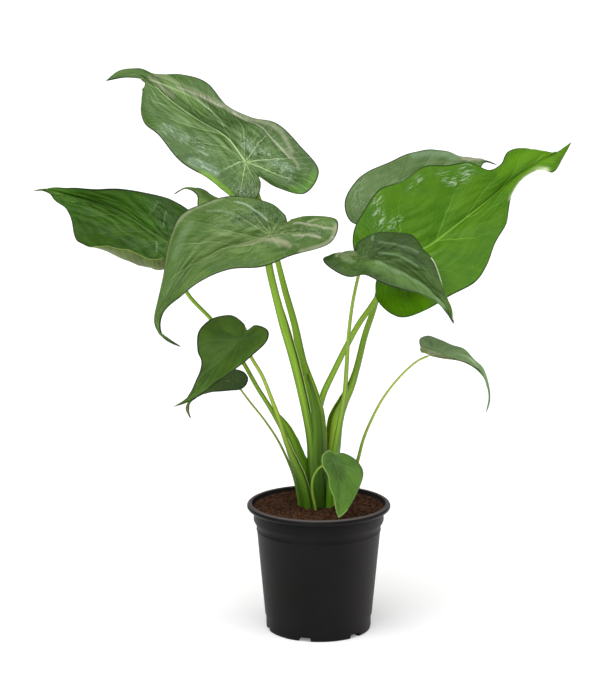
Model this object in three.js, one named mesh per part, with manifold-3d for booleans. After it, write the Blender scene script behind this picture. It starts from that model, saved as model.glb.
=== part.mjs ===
// A potted alocasia: eleven leaves on long stalks, rising from one rootstock in a black nursery pot.
// Millimetres, +Z up. The origin is the middle of the pot's foot, on the surface that the pot stands on.
// +X is to the viewer's right and -Y is towards the viewer.
import * as THREE from 'three';
import { mergeVertices } from 'three/addons/utils/BufferGeometryUtils.js';
import Module from 'manifold-3d';

const wasm = await Module();
wasm.setup();

// Pot
const POT_HEIGHT = 153;
const RIM_RADIUS = 85;
const RIM_HANG = 7;
const MOUTH_RADIUS = 79.5;
const COLLAR_RADIUS = 77.2;
const COLLAR_TOP = 144;
const COLLAR_BOTTOM = 132;
const BODY_TOP_RADIUS = 73.8;
const BODY_TOP = 126;
const FOOT_RADIUS = 62.5;
const FOOT_TOP = 14;
const RIDGE_RADIUS = 63.8;
const RIDGE_HEIGHT = 18;
const POT_WALL = 1.4;
const PAD_RADIUS = 28;
const FLOOR_LIFT = 4;
const FOOT_RING_INNER = 53;
const DRAIN_HOLES = 8;
const DRAIN_RADIUS = 4.5;
const DRAIN_CIRCLE = 42;
const FOOT_NOTCHES = 6;
const NOTCH_WIDTH = 18;
const NOTCH_DEPTH = 3.2;
const NOTCH_TURN = -111;
const POT_SIDES = 48;

// Soil and rootstock
const SOIL_LEVEL = 147;
const SOIL_CRUMBS = 0.7;
const ROOTSTOCK_CENTRE = [1, 4, 113];
const ROOTSTOCK_SIZE = [24, 19, 15];

// Leaves
const CLEARANCE = 0.3;
const BLADE_THICKNESS = 0.8;
const LOBE_POINTS = 4;
const LOBE_ROWS = 6;
const SIDE_ROWS = 11;
const ACROSS = [0.35, 0.65, 0.86, 1];
const CURL_START = 0.65;
const CURL_PULL = 0.35;
const STALK_SIDES = 8;
const STALK_STEP = 26;

// The leaves, from the middle of the crown outwards. Points are [x, y, z] in millimetres.
// joint: where the stalk meets the blade; facing: the way the upper side looks; notch: where the two lobes
// part. left and right run from the notch round a lobe and along the margin to the tip: the first four
// points are the lobe, and a fourth number is how far the margin curls up there.
// stalk: the route from the rootstock up to the joint, with the stalk's radius as the fourth number.
const LEAVES = [
  {
    name: 'upper_left_leaf',
    colour: 0x4f7038,
    joint: [-86, 60, 550],
    facing: [-0.25, -0.7, 0.67],
    notch: [-71, 45, 535],
    tip: [-262, 204, 635],
    midrib: [[-111, 97, 577], [-148, 125, 596], [-186, 158, 620], [-210, 185, 639], [-234, 199, 644]],
    left: [[-68, 34, 524], [-73, 25, 511], [-89, 24, 505], [-109, 33, 517], [-133, 45, 534],
      [-164, 64, 551], [-189, 93, 577], [-210, 121, 592], [-215, 153, 615], [-210, 175, 636],
      [-234, 193, 640]],
    right: [[-47, 29, 523], [-16, 17, 518], [0, 24, 542], [-23, 47, 572], [-50, 71, 595], [-81, 80, 602],
      [-108, 98, 613], [-134, 132, 638], [-167, 160, 647], [-196, 177, 645], [-220, 198, 651],
      [-245, 208, 647]],
    stalk: [[2, 1, 124, 5.5], [2, 1, 148, 6.6], [2, 3, 191, 7], [1, 7, 227, 7.6], [-2, 11, 260, 7.4],
      [-7, 14, 286, 6], [-18, 17, 319, 4.6], [-27, 22, 362, 3.8], [-38, 29, 403, 3], [-50, 40, 449, 2.8],
      [-67, 52, 500, 2.6]],
  },
  {
    name: 'back_right_leaf',
    colour: 0x5b7a48,
    joint: [89, 110, 481],
    facing: [0, -0.6, 0.8],
    notch: [79, 99, 469],
    tip: [222, 179, 533],
    midrib: [[118, 136, 500], [149, 157, 516], [181, 171, 527], [204, 176, 533]],
    left: [[69, 99, 468], [40, 103, 473], [32, 123, 494], [48, 143, 520], [86, 154, 540],
      [119, 171, 551], [153, 183, 552], [179, 181, 544], [203, 185, 540]],
    right: [[78, 82, 454], [92, 64, 445], [114, 62, 451], [135, 72, 470], [155, 90, 487],
      [176, 114, 502], [194, 141, 515], [210, 165, 527]],
    stalk: [[15, 9, 124, 5.5], [15, 9, 148, 6.5], [16, 12, 189, 7.5], [18, 15, 219, 8], [22, 20, 250, 7.6],
      [30, 26, 269, 5.4], [38, 30, 285, 4.2], [46, 36, 311, 3.8], [55, 45, 346, 3.6], [65, 55, 374, 3.4],
      [75, 72, 408, 3.2], [85, 95, 447, 2.8]],
  },
  {
    name: 'right_leaf',
    colour: 0x5d8f2c,
    joint: [83, 10, 438],
    facing: [0.1, -0.7, 0.7],
    notch: [71, 2, 428],
    tip: [310, 168, 563],
    midrib: [[127, 34, 453], [158, 56, 472], [194, 79, 496], [232, 105, 523], [266, 132, 541],
      [291, 149, 553]],
    left: [[52, 6, 434], [40, 17, 454], [41, 27, 474], [55, 42, 498], [72, 57, 518], [98, 67, 527],
      [125, 85, 542], [152, 92, 543], [181, 101, 545], [204, 99, 537], [219, 113, 542], [229, 132, 555],
      [252, 143, 558], [280, 144, 552], [296, 152, 554]],
    right: [[66, -9, 416], [68, -29, 398], [91, -44, 383], [121, -37, 390], [150, -27, 405],
      [180, -17, 419], [194, -3, 436], [205, 18, 459], [221, 43, 480], [228, 73, 506, 8],
      [246, 98, 523, 8], [267, 117, 533, 2], [282, 119, 531], [297, 143, 546]],
    stalk: [[0, 14, 124, 4.5], [0, 15, 148, 5.2], [-3, 17, 188, 5], [-4, 19, 224, 4.6], [-1, 19, 254, 4.2],
      [5, 18, 279, 3.8], [18, 17, 308, 3.4], [32, 16, 337, 3.3], [47, 15, 365, 3.3], [60, 14, 384, 3.2],
      [69, 13, 399, 2.9], [78, 12, 420, 2.7]],
  },
  {
    name: 'front_left_leaf',
    colour: 0x58793f,
    joint: [-55, -30, 476],
    facing: [-0.15, -0.8, 0.58],
    notch: [-36, -27, 489],
    tip: [-156, -96, 359],
    midrib: [[-85, -24, 466], [-112, -21, 458], [-138, -28, 442], [-158, -45, 422], [-173, -61, 402],
      [-183, -73, 385], [-179, -83, 371], [-167, -90, 364]],
    left: [[-40, -20, 499], [-54, -14, 510], [-74, -8, 515], [-102, -1, 517], [-134, 1, 508],
      [-158, 2, 497], [-170, -5, 476], [-177, -25, 442], [-182, -49, 413], [-187, -70, 389],
      [-183, -80, 374], [-171, -89, 365]],
    right: [[-19, -26, 496], [20, -40, 494], [14, -56, 472], [-33, -57, 456], [-65, -61, 444],
      [-104, -60, 440], [-138, -64, 426], [-157, -66, 410], [-172, -67, 399], [-179, -74, 385],
      [-177, -84, 371], [-165, -92, 363]],
    stalk: [[-6, -1, 124, 4], [-6, -1, 148, 4.7], [-8, -3, 193, 4.7], [-10, -5, 230, 4.8], [-14, -8, 264, 5],
      [-21, -11, 297, 5.2], [-30, -14, 333, 5.2], [-41, -17, 369, 5], [-51, -20, 405, 4.4],
      [-59, -24, 439, 3.6], [-60, -27, 461, 3]],
  },
  {
    name: 'front_right_leaf',
    colour: 0x3d5c30,
    joint: [50, -40, 451],
    facing: [0.1, -0.6, 0.79],
    notch: [40, -32, 458],
    tip: [149, -108, 387],
    midrib: [[75, -37, 447], [97, -44, 439], [119, -67, 424], [135, -87, 409], [144, -100, 397]],
    left: [[25, -37, 457], [4, -52, 452], [16, -70, 441], [34, -78, 435], [52, -70, 436], [70, -82, 429],
      [90, -88, 423], [112, -91, 418], [132, -93, 407], [145, -103, 393]],
    right: [[44, -26, 466], [54, -20, 472], [70, -15, 477], [88, -14, 477], [106, -17, 474],
      [119, -34, 460], [131, -50, 447], [139, -76, 423], [146, -92, 404]],
    stalk: [[12, -4, 124, 4], [12, -4, 148, 4.4], [14, -7, 191, 4.4], [19, -10, 221, 4.4], [25, -13, 256, 3.6],
      [30, -17, 290, 2.9], [32, -20, 323, 2.4], [34, -24, 359, 2.1], [38, -28, 395, 1.9],
      [44, -34, 427, 1.8]],
  },
  {
    name: 'back_left_leaf',
    colour: 0x4f7038,
    joint: [-105, 78, 487],
    facing: [-0.15, -0.5, 0.85],
    notch: [-96, 73, 485],
    tip: [-175, 127, 504],
    midrib: [[-120, 97, 495], [-135, 114, 504], [-148, 124, 509], [-160, 131, 510]],
    left: [[-86, 63, 479], [-93, 47, 469], [-112, 46, 469], [-131, 63, 481], [-144, 87, 494],
      [-146, 109, 504], [-155, 126, 509], [-164, 131, 510]],
    right: [[-84, 72, 487], [-85, 83, 496], [-99, 88, 502], [-113, 88, 502], [-128, 101, 507],
      [-140, 118, 512], [-152, 129, 512], [-163, 133, 511]],
    stalk: [[-9, 13, 124, 2.6], [-9, 14, 148, 3], [-7, 16, 194, 2.8], [-11, 20, 236, 2.6],
      [-17, 25, 277, 2.4], [-27, 31, 318, 2.2], [-39, 38, 359, 2], [-51, 46, 400, 1.9],
      [-64, 56, 438, 1.8], [-83, 68, 466, 1.7]],
  },
  {
    name: 'small_left_leaf',
    colour: 0x3a5a2e,
    joint: [-88, -35, 355],
    facing: [-0.25, -0.65, 0.72],
    notch: [-83, -26, 365],
    tip: [-166, -82, 286],
    midrib: [[-105, -43, 339], [-123, -59, 322], [-139, -74, 306], [-154, -82, 293]],
    left: [[-88, -17, 372], [-102, -7, 379], [-124, -8, 375], [-139, -22, 363], [-140, -41, 344],
      [-135, -55, 332], [-142, -71, 312], [-150, -80, 298], [-158, -81, 291]],
    right: [[-74, -24, 370], [-59, -38, 367], [-59, -50, 358], [-76, -63, 343], [-96, -75, 328],
      [-115, -80, 316], [-135, -85, 301], [-150, -85, 292]],
    stalk: [[-13, -6, 124, 3.8], [-13, -6, 148, 4.5], [-20, -8, 182, 4.6], [-29, -11, 205, 4.2],
      [-40, -14, 235, 3.1], [-47, -17, 259, 2.6], [-56, -20, 284, 2.3], [-66, -25, 311, 2.1],
      [-78, -31, 333, 2]],
  },
  {
    name: 'far_left_leaf',
    colour: 0x3f6427,
    joint: [-173, 44, 454],
    facing: [-0.1, -0.6, 0.79],
    notch: [-161, 39, 450],
    tip: [-347, 142, 506],
    midrib: [[-201, 76, 466], [-233, 103, 483], [-266, 120, 496], [-301, 131, 504], [-329, 138, 508]],
    left: [[-156, 29, 442], [-161, 11, 429, 10], [-178, -2, 420, 26], [-198, -3, 419, 27],
      [-222, 3, 423, 30], [-246, 15, 433, 22], [-269, 34, 448, 3], [-285, 47, 458], [-295, 80, 479],
      [-302, 100, 488], [-318, 118, 497], [-330, 136, 506]],
    right: [[-147, 45, 456], [-140, 59, 472], [-150, 71, 488], [-175, 81, 503], [-203, 88, 510],
      [-235, 98, 514], [-267, 108, 513], [-300, 124, 512], [-324, 138, 511], [-336, 141, 508]],
    stalk: [[-18, 4, 124, 3.8], [-18, 4, 148, 4.4], [-24, 5, 181, 4.2], [-33, 6, 209, 3.8],
      [-42, 7, 237, 3.2], [-56, 9, 263, 2.7], [-73, 13, 290, 2.5], [-89, 17, 318, 2.4], [-107, 22, 343, 2.4],
      [-127, 28, 368, 2.3], [-154, 36, 396, 2.3], [-167, 41, 423, 2.2]],
  },
  {
    name: 'low_left_leaf',
    colour: 0x4c6a38,
    joint: [-98, 0, 298],
    facing: [-0.2, -0.45, 0.87],
    notch: [-89, 0, 300],
    tip: [-149, -34, 262],
    midrib: [[-112, 9, 298], [-130, 1, 291], [-145, -12, 283], [-153, -24, 275]],
    left: [[-85, -11, 297], [-91, -20, 294], [-104, -20, 292], [-118, -16, 290], [-133, -13, 287],
      [-142, -16, 283], [-150, -22, 277], [-151, -27, 269]],
    right: [[-83, 1, 303], [-89, 12, 308], [-103, 17, 310], [-118, 16, 306], [-132, 1, 296],
      [-144, -12, 285], [-153, -19, 278], [-155, -22, 271]],
    stalk: [[-22, 9, 124, 1.6], [-23, 9, 148, 1.8], [-29, 10, 180, 1.7], [-37, 10, 202, 1.5],
      [-49, 10, 227, 1.3], [-65, 8, 252, 1.2], [-81, 6, 273, 1.2]],
  },
  {
    name: 'small_right_leaf',
    colour: 0x5c7450,
    joint: [129, -5, 331],
    facing: [0.1, -0.2, 0.97],
    notch: [125, -5, 335],
    tip: [195, -12, 264],
    midrib: [[147, -4, 328], [165, -3, 325], [181, -3, 317], [193, -5, 304], [198, -8, 286],
      [199, -10, 273]],
    left: [[119, -12, 336], [117, -22, 343], [121, -32, 346], [131, -36, 343], [145, -34, 337],
      [159, -26, 330], [173, -15, 323], [188, -8, 312], [195, -8, 298], [198, -10, 282]],
    right: [[119, 4, 339], [118, 18, 344], [122, 34, 345], [131, 45, 345], [144, 46, 340],
      [158, 38, 335], [171, 26, 333], [181, 14, 324], [192, 4, 315], [198, -3, 299], [200, -8, 282]],
    stalk: [[19, 17, 120, 2.2], [33, 40, 148, 2.4], [40, 36, 173, 2.3], [47, 34, 196, 2.1],
      [53, 31, 221, 1.8], [62, 28, 245, 1.6], [75, 23, 272, 1.4], [89, 18, 293, 1.3], [103, 12, 310, 1.2],
      [116, 4, 323, 1.2]],
  },
  {
    name: 'front_small_leaf',
    colour: 0x5f8a3e,
    joint: [18, -42, 213],
    facing: [0, -0.85, 0.53],
    notch: [17, -37, 221],
    tip: [22, -75, 154],
    midrib: [[22, -51, 195], [23, -62, 179], [22, -69, 164]],
    left: [[12, -37, 225], [4, -42, 221], [3, -50, 211], [10, -57, 199], [12, -65, 187], [17, -66, 174],
      [20, -72, 162]],
    right: [[28, -39, 222], [42, -45, 216], [51, -56, 204], [47, -65, 189], [39, -67, 172],
      [30, -73, 160]],
    stalk: [[-3, -8, 124, 1.4], [-4, -14, 148, 1.6], [-8, -17, 171, 1.6], [-7, -21, 187, 1.5],
      [-1, -27, 200, 1.4], [8, -34, 208, 1.3]],
  },
];

const group = new THREE.Group();

function addMesh(name, geometry, colour, roughness) {
  const material = new THREE.MeshStandardMaterial({ color: colour, roughness, metalness: 0 });
  const mesh = new THREE.Mesh(geometry, material);
  mesh.name = name;
  group.add(mesh);
}

// Solids

function toSolid(geometry) {
  const shape = geometry.clone();
  shape.deleteAttribute('normal');
  shape.deleteAttribute('uv');
  const merged = mergeVertices(shape, 1e-4);
  const vertProperties = new Float32Array(merged.attributes.position.array);
  const triVerts = new Uint32Array(merged.index.array);
  return new wasm.Manifold(new wasm.Mesh({ numProp: 3, vertProperties, triVerts }));
}

function toGeometry(solid) {
  const mesh = solid.getMesh();
  const geometry = new THREE.BufferGeometry();
  geometry.setAttribute('position', new THREE.BufferAttribute(new Float32Array(mesh.vertProperties), 3));
  geometry.setIndex(new THREE.BufferAttribute(new Uint32Array(mesh.triVerts), 1));
  geometry.computeVertexNormals();
  return geometry;
}

function largestPiece(solid) {
  return solid.decompose().reduce((best, piece) => (piece.volume() > best.volume() ? piece : best));
}

function geometryFrom(points, triangles) {
  const geometry = new THREE.BufferGeometry();
  geometry.setAttribute('position', new THREE.Float32BufferAttribute(points.flatMap((p) => p.toArray()), 3));
  geometry.setIndex(triangles.flat());
  geometry.computeVertexNormals();
  return geometry;
}

// A profile of [radius, height] turned round the plant's upright axis.
function turned(profile, sides) {
  const geometry = new THREE.LatheGeometry(profile.map(([r, z]) => new THREE.Vector2(r, z)), sides);
  return geometry.rotateX(Math.PI / 2);
}

// Pot

const innerWall = [
  [FOOT_RADIUS - POT_WALL, FLOOR_LIFT + POT_WALL],
  [FOOT_RADIUS - POT_WALL, FOOT_TOP],
  [RIDGE_RADIUS - POT_WALL - 0.4, RIDGE_HEIGHT],
  [BODY_TOP_RADIUS - POT_WALL, BODY_TOP],
  [COLLAR_RADIUS - POT_WALL, COLLAR_BOTTOM + 1],
];

function potProfile() {
  const outside = [
    [0, 0],
    [PAD_RADIUS, 0],
    [PAD_RADIUS + 3, FLOOR_LIFT],
    [FOOT_RING_INNER, FLOOR_LIFT],
    [FOOT_RING_INNER + 1, 0],
    [FOOT_RADIUS - 2, 0],
    [FOOT_RADIUS - 0.5, 1.2],
    [FOOT_RADIUS, 4],
    [FOOT_RADIUS, FOOT_TOP],
    [RIDGE_RADIUS, RIDGE_HEIGHT],
    [BODY_TOP_RADIUS, BODY_TOP],
    [COLLAR_RADIUS, COLLAR_BOTTOM],
    [COLLAR_RADIUS, COLLAR_TOP],
    [RIM_RADIUS - 3, POT_HEIGHT - RIM_HANG],
    [RIM_RADIUS - 0.6, POT_HEIGHT - RIM_HANG + 1],
    [RIM_RADIUS, POT_HEIGHT - 3],
    [RIM_RADIUS - 1.2, POT_HEIGHT - 0.8],
    [RIM_RADIUS - 3, POT_HEIGHT],
  ];
  const inside = [
    [MOUTH_RADIUS, POT_HEIGHT - 2],
    [COLLAR_RADIUS - POT_WALL, COLLAR_TOP + 1],
    ...[...innerWall].reverse(),
    [PAD_RADIUS + 3 - POT_WALL, FLOOR_LIFT + POT_WALL],
    [PAD_RADIUS - POT_WALL, POT_WALL],
    [0, POT_WALL],
  ];
  return [...outside, ...inside];
}

function cutters() {
  const cuts = [];
  for (let i = 0; i < DRAIN_HOLES; i += 1) {
    const turn = (i / DRAIN_HOLES) * 2 * Math.PI;
    const hole = new THREE.CylinderGeometry(DRAIN_RADIUS, DRAIN_RADIUS, 10, 12);
    hole.rotateX(Math.PI / 2);
    hole.translate(DRAIN_CIRCLE * Math.cos(turn), DRAIN_CIRCLE * Math.sin(turn), FLOOR_LIFT);
    cuts.push(toSolid(hole));
  }
  for (let i = 0; i < FOOT_NOTCHES; i += 1) {
    const notch = new THREE.BoxGeometry(20, NOTCH_WIDTH, 2 * NOTCH_DEPTH);
    notch.translate(FOOT_RADIUS, 0, 0);
    notch.rotateZ(THREE.MathUtils.degToRad(NOTCH_TURN + (i * 360) / FOOT_NOTCHES));
    cuts.push(toSolid(notch));
  }
  return cuts;
}

function potGeometry() {
  let solid = toSolid(turned(potProfile(), POT_SIDES));
  for (const cut of cutters()) {
    solid = solid.subtract(cut);
  }
  return toGeometry(solid);
}

// Rootstock: a squat corm with rings left by old leaves

function rootstockGeometry(extra) {
  const geometry = new THREE.SphereGeometry(1, 24, 14).rotateX(Math.PI / 2);
  const place = geometry.attributes.position;
  for (let i = 0; i < place.count; i += 1) {
    const ring = 1 + 0.05 * Math.cos(place.getZ(i) * 14);
    place.setXYZ(
      i,
      ROOTSTOCK_CENTRE[0] + place.getX(i) * (ROOTSTOCK_SIZE[0] * ring + extra),
      ROOTSTOCK_CENTRE[1] + place.getY(i) * (ROOTSTOCK_SIZE[1] * ring + extra),
      ROOTSTOCK_CENTRE[2] + place.getZ(i) * (ROOTSTOCK_SIZE[2] + extra),
    );
  }
  geometry.computeVertexNormals();
  return geometry;
}

// Soil: fills the pot, with a crumbly top

function crumbs(x, y) {
  return SOIL_CRUMBS * (Math.sin(0.31 * x + 1.7 * Math.sin(0.23 * y)) + Math.sin(0.37 * y - 0.19 * x + 1));
}

function soilGeometry() {
  const outline = innerWall.map(([r, z]) => [r - CLEARANCE, z + 0.1]);
  const bottom = FLOOR_LIFT + POT_WALL + CLEARANCE;
  outline[0][1] = bottom;
  const topRadius = COLLAR_RADIUS - POT_WALL - CLEARANCE;
  const rings = [75, 62, 48, 34, 20];
  const profile = [
    [0, POT_WALL + CLEARANCE],
    [PAD_RADIUS - POT_WALL - CLEARANCE, POT_WALL + CLEARANCE],
    [PAD_RADIUS + 3 - POT_WALL - CLEARANCE, bottom],
    ...outline,
    [topRadius, SOIL_LEVEL - 4],
    ...rings.map((r) => [r, SOIL_LEVEL]),
    [0, SOIL_LEVEL],
  ];
  const geometry = turned(profile, 32);
  const place = geometry.attributes.position;
  for (let i = 0; i < place.count; i += 1) {
    if (place.getZ(i) > SOIL_LEVEL - 1) {
      place.setZ(i, SOIL_LEVEL + crumbs(place.getX(i), place.getY(i)));
    }
  }
  geometry.computeVertexNormals();
  return geometry;
}

// Blades

function curveThrough(points) {
  return new THREE.CatmullRomCurve3(points.map(([x, y, z]) => new THREE.Vector3(x, y, z)));
}

function curlAt(points, t) {
  const place = t * (points.length - 1);
  const i = Math.min(Math.floor(place), points.length - 2);
  const a = points[i][3] ?? 0;
  const b = points[i + 1][3] ?? 0;
  return a + (b - a) * (place - i);
}

// One row of points from the midrib to the margin; a curled margin lifts and draws in.
function rowPoints(start, end, facing, curl) {
  const inward = start.clone().sub(end).normalize();
  return ACROSS.map((u) => {
    const lift = curl * Math.max(0, (u - CURL_START) / (1 - CURL_START)) ** 3;
    const point = start.clone().lerp(end, u);
    return point.addScaledVector(facing, lift).addScaledVector(inward, lift * CURL_PULL);
  });
}

// The blade as a thin sheet: points, and triangles that all look the way the blade faces.
function bladeSheet(leaf) {
  const facing = new THREE.Vector3(...leaf.facing).normalize();
  const points = [];
  const addPoint = (point) => points.push(point) - 1;
  const midrib = curveThrough([leaf.joint, ...leaf.midrib, leaf.tip]);
  const spine = [];
  for (let j = 0; j < SIDE_ROWS; j += 1) {
    spine.push(addPoint(midrib.getPoint(j / SIDE_ROWS)));
  }
  const tip = addPoint(new THREE.Vector3(...leaf.tip));
  const seam = rowPoints(points[0], new THREE.Vector3(...leaf.notch), facing, 0).map(addPoint);
  const triangles = [];
  for (const side of ['left', 'right']) {
    const margin = [leaf.notch, ...leaf[side], leaf.tip];
    const edge = curveThrough(margin);
    const last = margin.length - 1;
    const sideTriangles = [];
    let row = [spine[0], ...seam];
    for (let i = 1; i < LOBE_ROWS + SIDE_ROWS; i += 1) {
      const along = Math.max(0, i - LOBE_ROWS);
      const lobe = Math.min(1, i / LOBE_ROWS);
      const t = (lobe * LOBE_POINTS + (along / SIDE_ROWS) * (last - LOBE_POINTS)) / last;
      const start = spine[along];
      const rowPlaces = rowPoints(points[start], edge.getPoint(t), facing, curlAt(margin, t));
      const next = [start, ...rowPlaces.map(addPoint)];
      sideTriangles.push([row[0], row[1], next[1]]);
      if (row[0] !== next[0]) {
        sideTriangles.push([row[0], next[1], next[0]]);
      }
      for (let k = 1; k < ACROSS.length; k += 1) {
        sideTriangles.push([row[k], row[k + 1], next[k + 1]], [row[k], next[k + 1], next[k]]);
      }
      row = next;
    }
    for (let k = 0; k < ACROSS.length; k += 1) {
      sideTriangles.push([row[k], row[k + 1], tip]);
    }
    const turn = sideTriangles.reduce((sum, [a, b, c]) => {
      const normal = points[b].clone().sub(points[a]).cross(points[c].clone().sub(points[a]));
      return sum + normal.dot(facing);
    }, 0);
    triangles.push(...(turn > 0 ? sideTriangles : sideTriangles.map(([a, b, c]) => [a, c, b])));
  }
  return { points, triangles };
}

// The sheet given a thickness: the same triangles on both faces, joined round the margin.
function bladeGeometry(leaf, thickness) {
  const { points, triangles } = bladeSheet(leaf);
  const sheet = geometryFrom(points, triangles);
  const normals = sheet.attributes.normal;
  const count = points.length;
  const offset = (way) => points.map((p, i) => {
    const normal = new THREE.Vector3().fromBufferAttribute(normals, i);
    return p.clone().addScaledVector(normal, (way * thickness) / 2);
  });
  const edges = new Set(triangles.flatMap(([a, b, c]) => [`${a},${b}`, `${b},${c}`, `${c},${a}`]));
  const rim = [];
  for (const edge of edges) {
    const [a, b] = edge.split(',').map(Number);
    if (!edges.has(`${b},${a}`)) {
      rim.push([b, a, a + count], [b, a + count, b + count]);
    }
  }
  const underside = triangles.map(([a, b, c]) => [a + count, c + count, b + count]);
  return geometryFrom([...offset(1), ...offset(-1)], [...triangles, ...underside, ...rim]);
}

// Stalks

// A tapered round tube along a route of [x, y, z, radius].
function stalkGeometry(route, extra) {
  const curve = curveThrough(route);
  const steps = Math.ceil(curve.getLength() / STALK_STEP);
  const frames = curve.computeFrenetFrames(steps, false);
  const points = [];
  const triangles = [];
  for (let i = 0; i <= steps; i += 1) {
    const place = curve.getUtoTmapping(i / steps) * (route.length - 1);
    const k = Math.min(Math.floor(place), route.length - 2);
    const radius = THREE.MathUtils.lerp(route[k][3], route[k + 1][3], place - k) + extra;
    const centre = curve.getPointAt(i / steps);
    for (let s = 0; s < STALK_SIDES; s += 1) {
      const angle = (s / STALK_SIDES) * 2 * Math.PI;
      points.push(centre.clone()
        .addScaledVector(frames.normals[i], radius * Math.cos(angle))
        .addScaledVector(frames.binormals[i], radius * Math.sin(angle)));
    }
  }
  for (let i = 0; i < steps; i += 1) {
    for (let s = 0; s < STALK_SIDES; s += 1) {
      const a = i * STALK_SIDES + s;
      const b = i * STALK_SIDES + ((s + 1) % STALK_SIDES);
      triangles.push([a, b, b + STALK_SIDES], [a, b + STALK_SIDES, a + STALK_SIDES]);
    }
  }
  const foot = points.push(curve.getPoint(0)) - 1;
  const head = points.push(curve.getPoint(1)) - 1;
  for (let s = 0; s < STALK_SIDES; s += 1) {
    const next = (s + 1) % STALK_SIDES;
    triangles.push([foot, next, s], [head, steps * STALK_SIDES + s, steps * STALK_SIDES + next]);
  }
  return geometryFrom(points, triangles);
}

// Assembly

const pot = potGeometry();
addMesh('pot', pot, 0x262524, 0.45);

const rootstock = rootstockGeometry(0);
addMesh('rootstock', toGeometry(toSolid(rootstock)), 0x6b4a2c, 0.9);

const rootstockRoom = toSolid(rootstockGeometry(CLEARANCE));
let soil = toSolid(soilGeometry()).subtract(rootstockRoom);
const stalkRooms = [rootstockRoom];
for (const leaf of LEAVES) {
  addMesh(`${leaf.name}_blade`, toGeometry(toSolid(bladeGeometry(leaf, BLADE_THICKNESS))), leaf.colour, 0.4);
  const route = [...leaf.stalk, [...leaf.joint, leaf.stalk.at(-1)[3]]];
  let stalk = toSolid(stalkGeometry(route, 0));
  stalk = stalk.subtract(toSolid(bladeGeometry(leaf, BLADE_THICKNESS + 2 * CLEARANCE)));
  for (const room of stalkRooms) {
    stalk = stalk.subtract(room);
  }
  addMesh(`${leaf.name}_stalk`, toGeometry(largestPiece(stalk)), 0x7fa338, 0.45);
  const room = toSolid(stalkGeometry(route, CLEARANCE));
  stalkRooms.push(room);
  soil = soil.subtract(room);
}
addMesh('soil', toGeometry(largestPiece(soil)), 0x3c2416, 0.95);

export default group;
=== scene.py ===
import math
import random

import bpy
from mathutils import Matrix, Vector, noise
from mathutils.geometry import intersect_point_line


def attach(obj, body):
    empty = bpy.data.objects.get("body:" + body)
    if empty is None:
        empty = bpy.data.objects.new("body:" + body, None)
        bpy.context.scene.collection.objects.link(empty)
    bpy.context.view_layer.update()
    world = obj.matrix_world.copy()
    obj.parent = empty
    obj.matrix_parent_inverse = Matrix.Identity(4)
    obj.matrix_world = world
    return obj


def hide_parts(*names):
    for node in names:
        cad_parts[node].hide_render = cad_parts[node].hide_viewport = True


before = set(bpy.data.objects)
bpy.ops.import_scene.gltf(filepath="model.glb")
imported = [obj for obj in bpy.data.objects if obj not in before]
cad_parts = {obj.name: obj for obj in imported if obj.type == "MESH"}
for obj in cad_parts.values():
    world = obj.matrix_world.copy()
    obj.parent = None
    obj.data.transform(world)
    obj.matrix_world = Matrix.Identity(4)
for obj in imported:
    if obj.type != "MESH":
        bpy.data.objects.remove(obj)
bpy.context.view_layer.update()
scene = bpy.context.scene

MM = 0.001

# Camera, fitted to the pot's rim and foot
CAMERA_PLACE = (-22.15, -2453.0, 813.3)
CAMERA_TILT = math.radians(79)
CAMERA_LENS = 110.0

# Pot
POT_HEIGHT = 153
RIM_RADIUS = 85
RIM_HANG = 7
RIM_INNER = 78.6
MOUTH_RADIUS = 79.5
COLLAR_RADIUS = 77.2
COLLAR_TOP = 144
COLLAR_BOTTOM = 132
BODY_TOP_RADIUS = 73.8
BODY_TOP = 126
RING_HEIGHT = 121
RING_PROUD = 0.5
FOOT_RADIUS = 62.5
FOOT_TOP = 14
RIDGE_RADIUS = 63.8
RIDGE_HEIGHT = 18
POT_WALL = 1.4
PAD_RADIUS = 28
FLOOR_LIFT = 4
FOOT_RING_INNER = 53
DRAIN_HOLES = 8
DRAIN_RADIUS = 4.5
DRAIN_CIRCLE = 42
FOOT_NOTCHES = 6
NOTCH_WIDTH = 15
NOTCH_DEPTH = 4.8
NOTCH_TURN = -106
POT_STEPS = 144
PAD_SLOPE = 3
RIDGE_BEAD = 0.4
LIP_WIDTH = 4
LIP_HEIGHT = 3.6
DRAIN_TOOL = 10
NOTCH_TOOL = 20
NOTCH_BEVEL = 1.4

# Soil and rootstock. Each wave of the soil's top: how close together, its seed, and its height.
SOIL_LEVEL = 147
SOIL_RADIUS = 75.4
SOIL_EDGE_RADIUS = 77.0
SOIL_EDGE_WIDTH = 6
SOIL_EDGE_RISE = 0.4
SOIL_ROOM = 0.3
SOIL_RINGS = 42
SOIL_STEPS = 128
SOIL_WAVES = ((0.045, 3.0, 1.6), (0.16, 9.0, 1.3), (0.55, 5.0, 0.7))
CRUMBS = 1500
CRUMB_SEED = 7
CRUMB_SIZE = 0.8
CRUMB_SPREAD = 1.9
CRUMB_UNEVENNESS = 0.45
ROOTSTOCK_CENTRE = (1, 4, 113)
ROOTSTOCK_SIZE = (24, 19, 15)
ROOTSTOCK_RINGS = 14
ROOTSTOCK_RING_DEPTH = 0.05
ROOTSTOCK_ROUGHNESS = 0.03

# Blades: thickness and ribs
BLADE_THICKNESS = 0.8
RIB_THICKNESS = 3.2
FULL_RIB = 1.3
RIB_TAPER = 0.75
EDGE_THINNING = 0.35
TIP_THINNING = 0.75

# Blades: rows of the sheet, in a lobe and beside the midrib, and the shape across them
LOBE_POINTS = 4
LOBE_ROWS = 6
SIDE_ROWS = 11
SPAN = LOBE_ROWS + SIDE_ROWS
ROW_STEP = 0.05
TINY = 1e-6
CURL_START = 0.65
CURL_PULL = 0.35
BOW_LIMIT = 0.08
COLUMN_EASE = 1.25
VEIN_BEND = 0.8

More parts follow.
